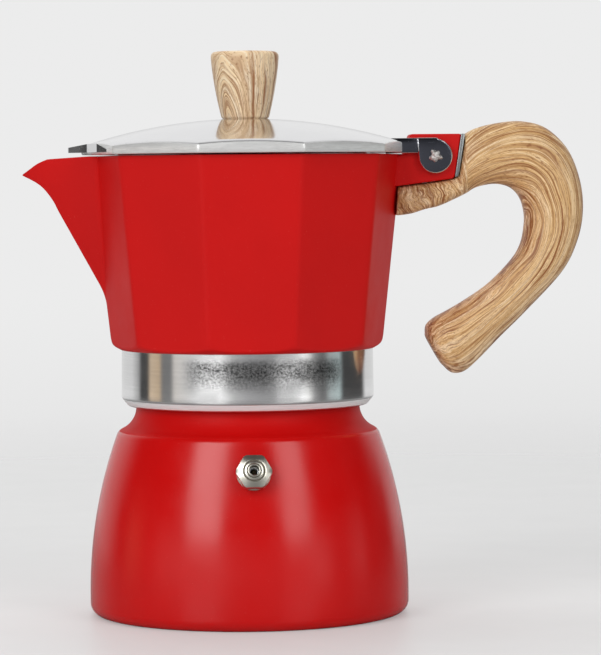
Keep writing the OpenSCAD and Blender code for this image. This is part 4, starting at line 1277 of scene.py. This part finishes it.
class MOKA_OT_knob(bpy.types.Operator):
    """Builds the knob with its printed wood and finishes the brass insert"""

    bl_idname = "moka.knob"
    bl_label = "Knob"

    def execute(self, context):
        low, high = span("lid_knob")
        shares = [0.1 + 0.05 * k for k in range(15)]
        side = [(6.66 + 5.0 * t - 1.75 * t * t, low + (high - low) * t) for t in shares]
        profile = softened([(0, low + 10.0), (3.2, low + 10.0), (3.2, low), (6.1, low, 0.15),
                            (6.8, low + 0.6, 0.3)] + side
                           + [(9.85, high - 0.05, 1.9), (4.6, high), (2.3, high), (0, high)],
                           steps=7)
        bm = turned(profile, 96, closed=False)
        layer = bm.verts.layers.float_vector.new("grain")
        for vert in bm.verts:
            vert[layer] = knob_grain(vert.co / MM)
        piece("knob_body", bm, "lid", "wood_print", "knob_wood", replaces="lid_knob")
        refinish("brass", "knob_insert")
        return {"FINISHED"}


class MOKA_OT_hinge(bpy.types.Operator):
    """Builds the hinge pin with its peened heads"""

    bl_idname = "moka.hinge"
    bl_label = "Hinge pin"

    def execute(self, context):
        side = [(1.5, 7.8), (2.15, 7.8), (2.15, 8.0), (1.8, 8.35), (1.2, 8.55), (0.6, 8.68),
                (0, 8.7)]
        profile = [(r, -z) for r, z in reversed(side)] + side
        bm = turned(profile, 48, closed=False)
        for vert in bm.verts:
            out = abs(vert.co.z / MM)
            if out > 7.75:
                turn = math.atan2(vert.co.y, vert.co.x)
                splay = 0.93 - 0.22 * abs(math.sin(1.5 * turn + 0.4)) - 0.12 * math.sin(5 * turn)
                vert.co.x *= splay
                vert.co.y *= splay
        piece("peened_pin", moved(bm, PIN_AXIS), "lid", "steel", "pin", replaces="hinge_pin")
        return {"FINISHED"}


class MOKA_OT_handle(bpy.types.Operator):
    """Builds the hooked handle with its printed wood"""

    bl_idname = "moka.handle"
    bl_label = "Handle"

    def execute(self, context):
        bm = handle_shell(context.scene.moka_sizes)
        layer = bm.verts.layers.float_vector["grain"]
        tree = KDTree(len(bm.verts))
        marks = []
        for i, vert in enumerate(bm.verts):
            tree.insert(vert.co, i)
            marks.append(vert[layer].copy())
        tree.balance()
        screw = Matrix.Translation((SCREW_X, 0, 0))
        bm = carved(bm, drill(2.2, screw, length=40, low=95))
        bm = carved(bm, drill(4.0, screw, length=32.3, low=85))
        mortise = slab([(59.0, 126.9), (71.0, 126.9), (71.0, 134.1), (59.0, 134.1)], -2.6, 2.6, 0)
        bm = carved(bm, mortise)
        layer = (bm.verts.layers.float_vector.get("grain")
                 or bm.verts.layers.float_vector.new("grain"))
        for vert in bm.verts:
            vert[layer] = marks[tree.find(vert.co)[1]]
        piece("handle_hook", bm, "jug", "wood_print", "wood", replaces="handle", sharp=38.0)
        return {"FINISHED"}


class MOKA_OT_small_parts(bpy.types.Operator):
    """Finishes the knob's screw and washer, and builds the handle's cross-head screw"""

    bl_idname = "moka.small_parts"
    bl_label = "Small parts"

    def execute(self, context):
        refinish("steel", "knob_screw", "knob_washer")
        low, high = span("handle_screw")
        profile = [(0, low + 1.1), (3.0, low + 1.1, 0.7), (3.7, low + 1.9, 0.3),
                   (3.7, low + 2.4, 0.1), (1.9, low + 2.4), (1.9, high - 0.8), (1.1, high),
                   (0, high)]
        screw = turned(profile, 32, closed=False)
        for angle in (0.0, math.pi / 2):
            slot = slab([(-2.2, low), (2.2, low), (2.2, low + 1.7), (-2.2, low + 1.7)],
                        -0.35, 0.35, 0)
            bmesh.ops.rotate(slot, matrix=Matrix.Rotation(angle, 3, "Z"), verts=slot.verts)
            screw = carved(screw, slot)
        screw = moved(screw, Matrix.Translation((SCREW_X, 0, 0)))
        piece("cross_head_screw", screw, "jug", "steel", "steel", replaces="handle_screw")
        return {"FINISHED"}


# ---------------------------------------------------------------- studio
# What polished metal sees around the pot: place on the ring (0.5 is the camera's side), then a
# grey or a colour
SURROUNDINGS = [
    (0.130, 0.70), (0.165, 0.40), (0.178, 0.06), (0.206, 0.06), (0.219, 0.65, 0.51, 0.37),
    (0.250, 0.58, 0.44, 0.30), (0.261, 0.20), (0.289, 0.20), (0.300, 0.72, 0.68, 0.64),
    (0.355, 0.78), (0.385, 0.62), (0.410, 0.62), (0.425, 0.90), (0.440, 0.82), (0.462, 0.52),
    (0.490, 0.42, 0.42, 0.425), (0.530, 0.36, 0.36, 0.365), (0.560, 0.32, 0.32, 0.325),
    (0.582, 0.44), (0.605, 0.48), (0.622, 0.78), (0.636, 1.20), (0.650, 1.20, 1.20, 1.18),
    (0.668, 0.36), (0.690, 0.15), (0.703, 0.18), (0.716, 0.42, 0.47, 0.47),
    (0.750, 0.50, 0.60, 0.60), (0.762, 0.05), (0.850, 0.06), (0.872, 0.70)]
FRONT_TOP, BACK_TOP = grey(0.035), grey(0.84)       # the same room above the ring
DIFFUSE, HORIZON = grey(0.34), grey(0.73)           # plain light, and the backdrop low down
# Lamps: azimuth and elevation in degrees, distance and sizes in metres, share of the power
LAMPS = {"softbox_left": (-36, 26, 1.25, (0.56, 0.85), 1.0),
         "softbox_right": (34, 26, 1.25, (0.44, 0.85), 0.55),
         "overhead": (180, 68, 1.1, (0.8, 0.8), 0.7)}


def studio_world(studio):
    """Pale to the camera, even for plain light, and a room of panels for reflections."""
    world = bpy.data.worlds.new("Studio")
    world.use_nodes = True
    tree = world.node_tree
    background = tree.nodes["Background"]
    x, y, z = signal(tree, "TexCoord", out="Generated").parts()
    around = x.maths("ARCTAN2", y * -1.0).maths("DIVIDE", math.tau) + 0.5
    ramp = node(tree, "ValToRGB", {0: around})
    stops = ramp.color_ramp.elements
    while len(stops) > 1:
        stops.remove(stops[0])
    for i, (at, *colour) in enumerate(SURROUNDINGS):
        stop = stops[0] if i == 0 else stops.new(at)
        stop.position = at
        stop.color = (*(colour * 3)[:3], 1.0)
    above = mixed(y.eased(0.3, 0.75), FRONT_TOP, BACK_TOP)
    room = mixed(z.eased(0.10, 0.22), Signal(ramp.outputs[0]), above)
    path = light_path(tree)
    seen = mixed(path["Is Glossy Ray"], DIFFUSE, room)
    direct = path["Is Camera Ray"].maths("MAXIMUM", path["Is Transmission Ray"])
    low = z.eased(-0.03, -0.11) * x.remap(-0.15, 0.12, 0.45, 1.0)
    backdrop = mixed(low, (*studio.background, 1), HORIZON)
    tree.links.new(mixed(direct, seen, backdrop).socket, background.inputs["Color"])
    background.inputs["Strength"].default_value = 1.0
    world.cycles.sampling_method = "NONE"
    bpy.context.scene.world = world


def studio_lamp(name, azimuth, elevation, distance, sizes, power):
    """An area lamp aimed at the pot's middle."""
    data = bpy.data.lights.new(name, "AREA")
    data.shape = "RECTANGLE"
    data.size, data.size_y = sizes
    data.energy = power
    lamp = placed(name, data)
    a, e = math.radians(azimuth), math.radians(elevation)
    away = Vector((math.sin(a) * math.cos(e), -math.cos(a) * math.cos(e), math.sin(e)))
    lamp.location = Vector((0, 0, 0.08)) + away * distance
    lamp.rotation_euler = away.to_track_quat("Z", "Y").to_euler()
    return lamp


def floor_material(studio):
    """Pale floor that fades into the background away from the pot."""
    material, tree, principled = blank_material("Studio floor")
    at = object_place(tree)
    path = light_path(tree)
    pale = mixed(at.noise(35.0, 3.0).spread(0.0, 1.0), grey(0.84), grey(0.87))
    tree.links.new(mixed(path["Is Glossy Ray"], pale, grey(0.26)).socket,
                   principled.inputs["Base Color"])
    reach = signal(tree, "VectorMath", {0: at}, out="Value", operation="LENGTH")
    fade = reach.eased(0.16, studio.floor_radius * 0.95, 1.0, 0.0)
    fade = fade * path["Is Camera Ray"].remap(0.0, 1.0, 1.0, 0.62)
    tree.links.new(fade.socket, principled.inputs["Alpha"])
    principled.inputs["Roughness"].default_value = 0.4
    return material


class MOKA_OT_stage(bpy.types.Operator):
    """Sets up the floor, the lamps, the surroundings and the camera"""

    bl_idname = "moka.stage"
    bl_label = "Studio"

    def execute(self, context):
        scene = context.scene
        studio = scene.moka_studio
        scene.view_settings.view_transform = "Standard"
        studio_world(studio)
        bm = bmesh.new()
        bmesh.ops.create_circle(bm, cap_ends=True, radius=studio.floor_radius, segments=128)
        mesh = mesh_of("floor", bm)
        mesh.materials.append(floor_material(studio))
        floor = placed("floor", mesh)
        lamps = [studio_lamp(name, *spot, share * studio.lamp_power)
                 for name, (*spot, share) in LAMPS.items()]
        lamps[-1].visible_glossy = False
        data = bpy.data.cameras.new("camera")
        data.sensor_width = 36.0
        data.sensor_fit = "AUTO"
        data.lens = studio.lens
        camera = placed("camera", data)
        a = studio.azimuth
        camera.matrix_world = (
            Matrix.Translation((math.sin(a) * studio.distance, -math.cos(a) * studio.distance,
                                studio.height))
            @ Matrix.Rotation(a - studio.turn, 4, "Z")
            @ Matrix.Rotation(math.pi / 2 - studio.tilt, 4, "X")
            @ Matrix.Rotation(-studio.roll, 4, "Z"))
        scene.camera = camera
        return {"FINISHED"}


# ---------------------------------------------------------------- panel and run
BUILD_ORDER = (MOKA_OT_finishes, MOKA_OT_boiler, MOKA_OT_valve, MOKA_OT_funnel, MOKA_OT_seal,
               MOKA_OT_collar, MOKA_OT_jug, MOKA_OT_riser, MOKA_OT_lid, MOKA_OT_knob,
               MOKA_OT_hinge, MOKA_OT_handle, MOKA_OT_small_parts, MOKA_OT_stage)
GROUPS = {"moka_sizes": MokaSizes, "moka_colours": MokaColours, "moka_studio": MokaStudio}


class MOKA_PT_panel(bpy.types.Panel):
    """Sidebar panel with the pot's settings and its building steps"""

    bl_idname = "MOKA_PT_panel"
    bl_label = "Moka pot"
    bl_space_type = "VIEW_3D"
    bl_region_type = "UI"
    bl_category = "Moka pot"

    def draw(self, context):
        for name in GROUPS:
            group = getattr(context.scene, name)
            box = self.layout.box()
            box.label(text=name.split("_")[1].capitalize())
            for entry in group.__annotations__:
                box.prop(group, entry)
        column = self.layout.column(align=True)
        for step in BUILD_ORDER:
            column.operator(step.bl_idname)


CLASSES = (*GROUPS.values(), *BUILD_ORDER, MOKA_PT_panel)


def register():
    for cls in CLASSES:
        bpy.utils.register_class(cls)
    for name, group in GROUPS.items():
        setattr(bpy.types.Scene, name, bpy.props.PointerProperty(type=group))


def unregister():
    for name in GROUPS:
        delattr(bpy.types.Scene, name)
    for cls in reversed(CLASSES):
        bpy.utils.unregister_class(cls)


def main():
    register()
    for step in BUILD_ORDER:
        name = step.bl_idname.split(".")[1]
        if getattr(bpy.ops.moka, name)() != {"FINISHED"}:
            raise RuntimeError(f"{step.bl_label} was not built")


if __name__ == "__main__":
    main()
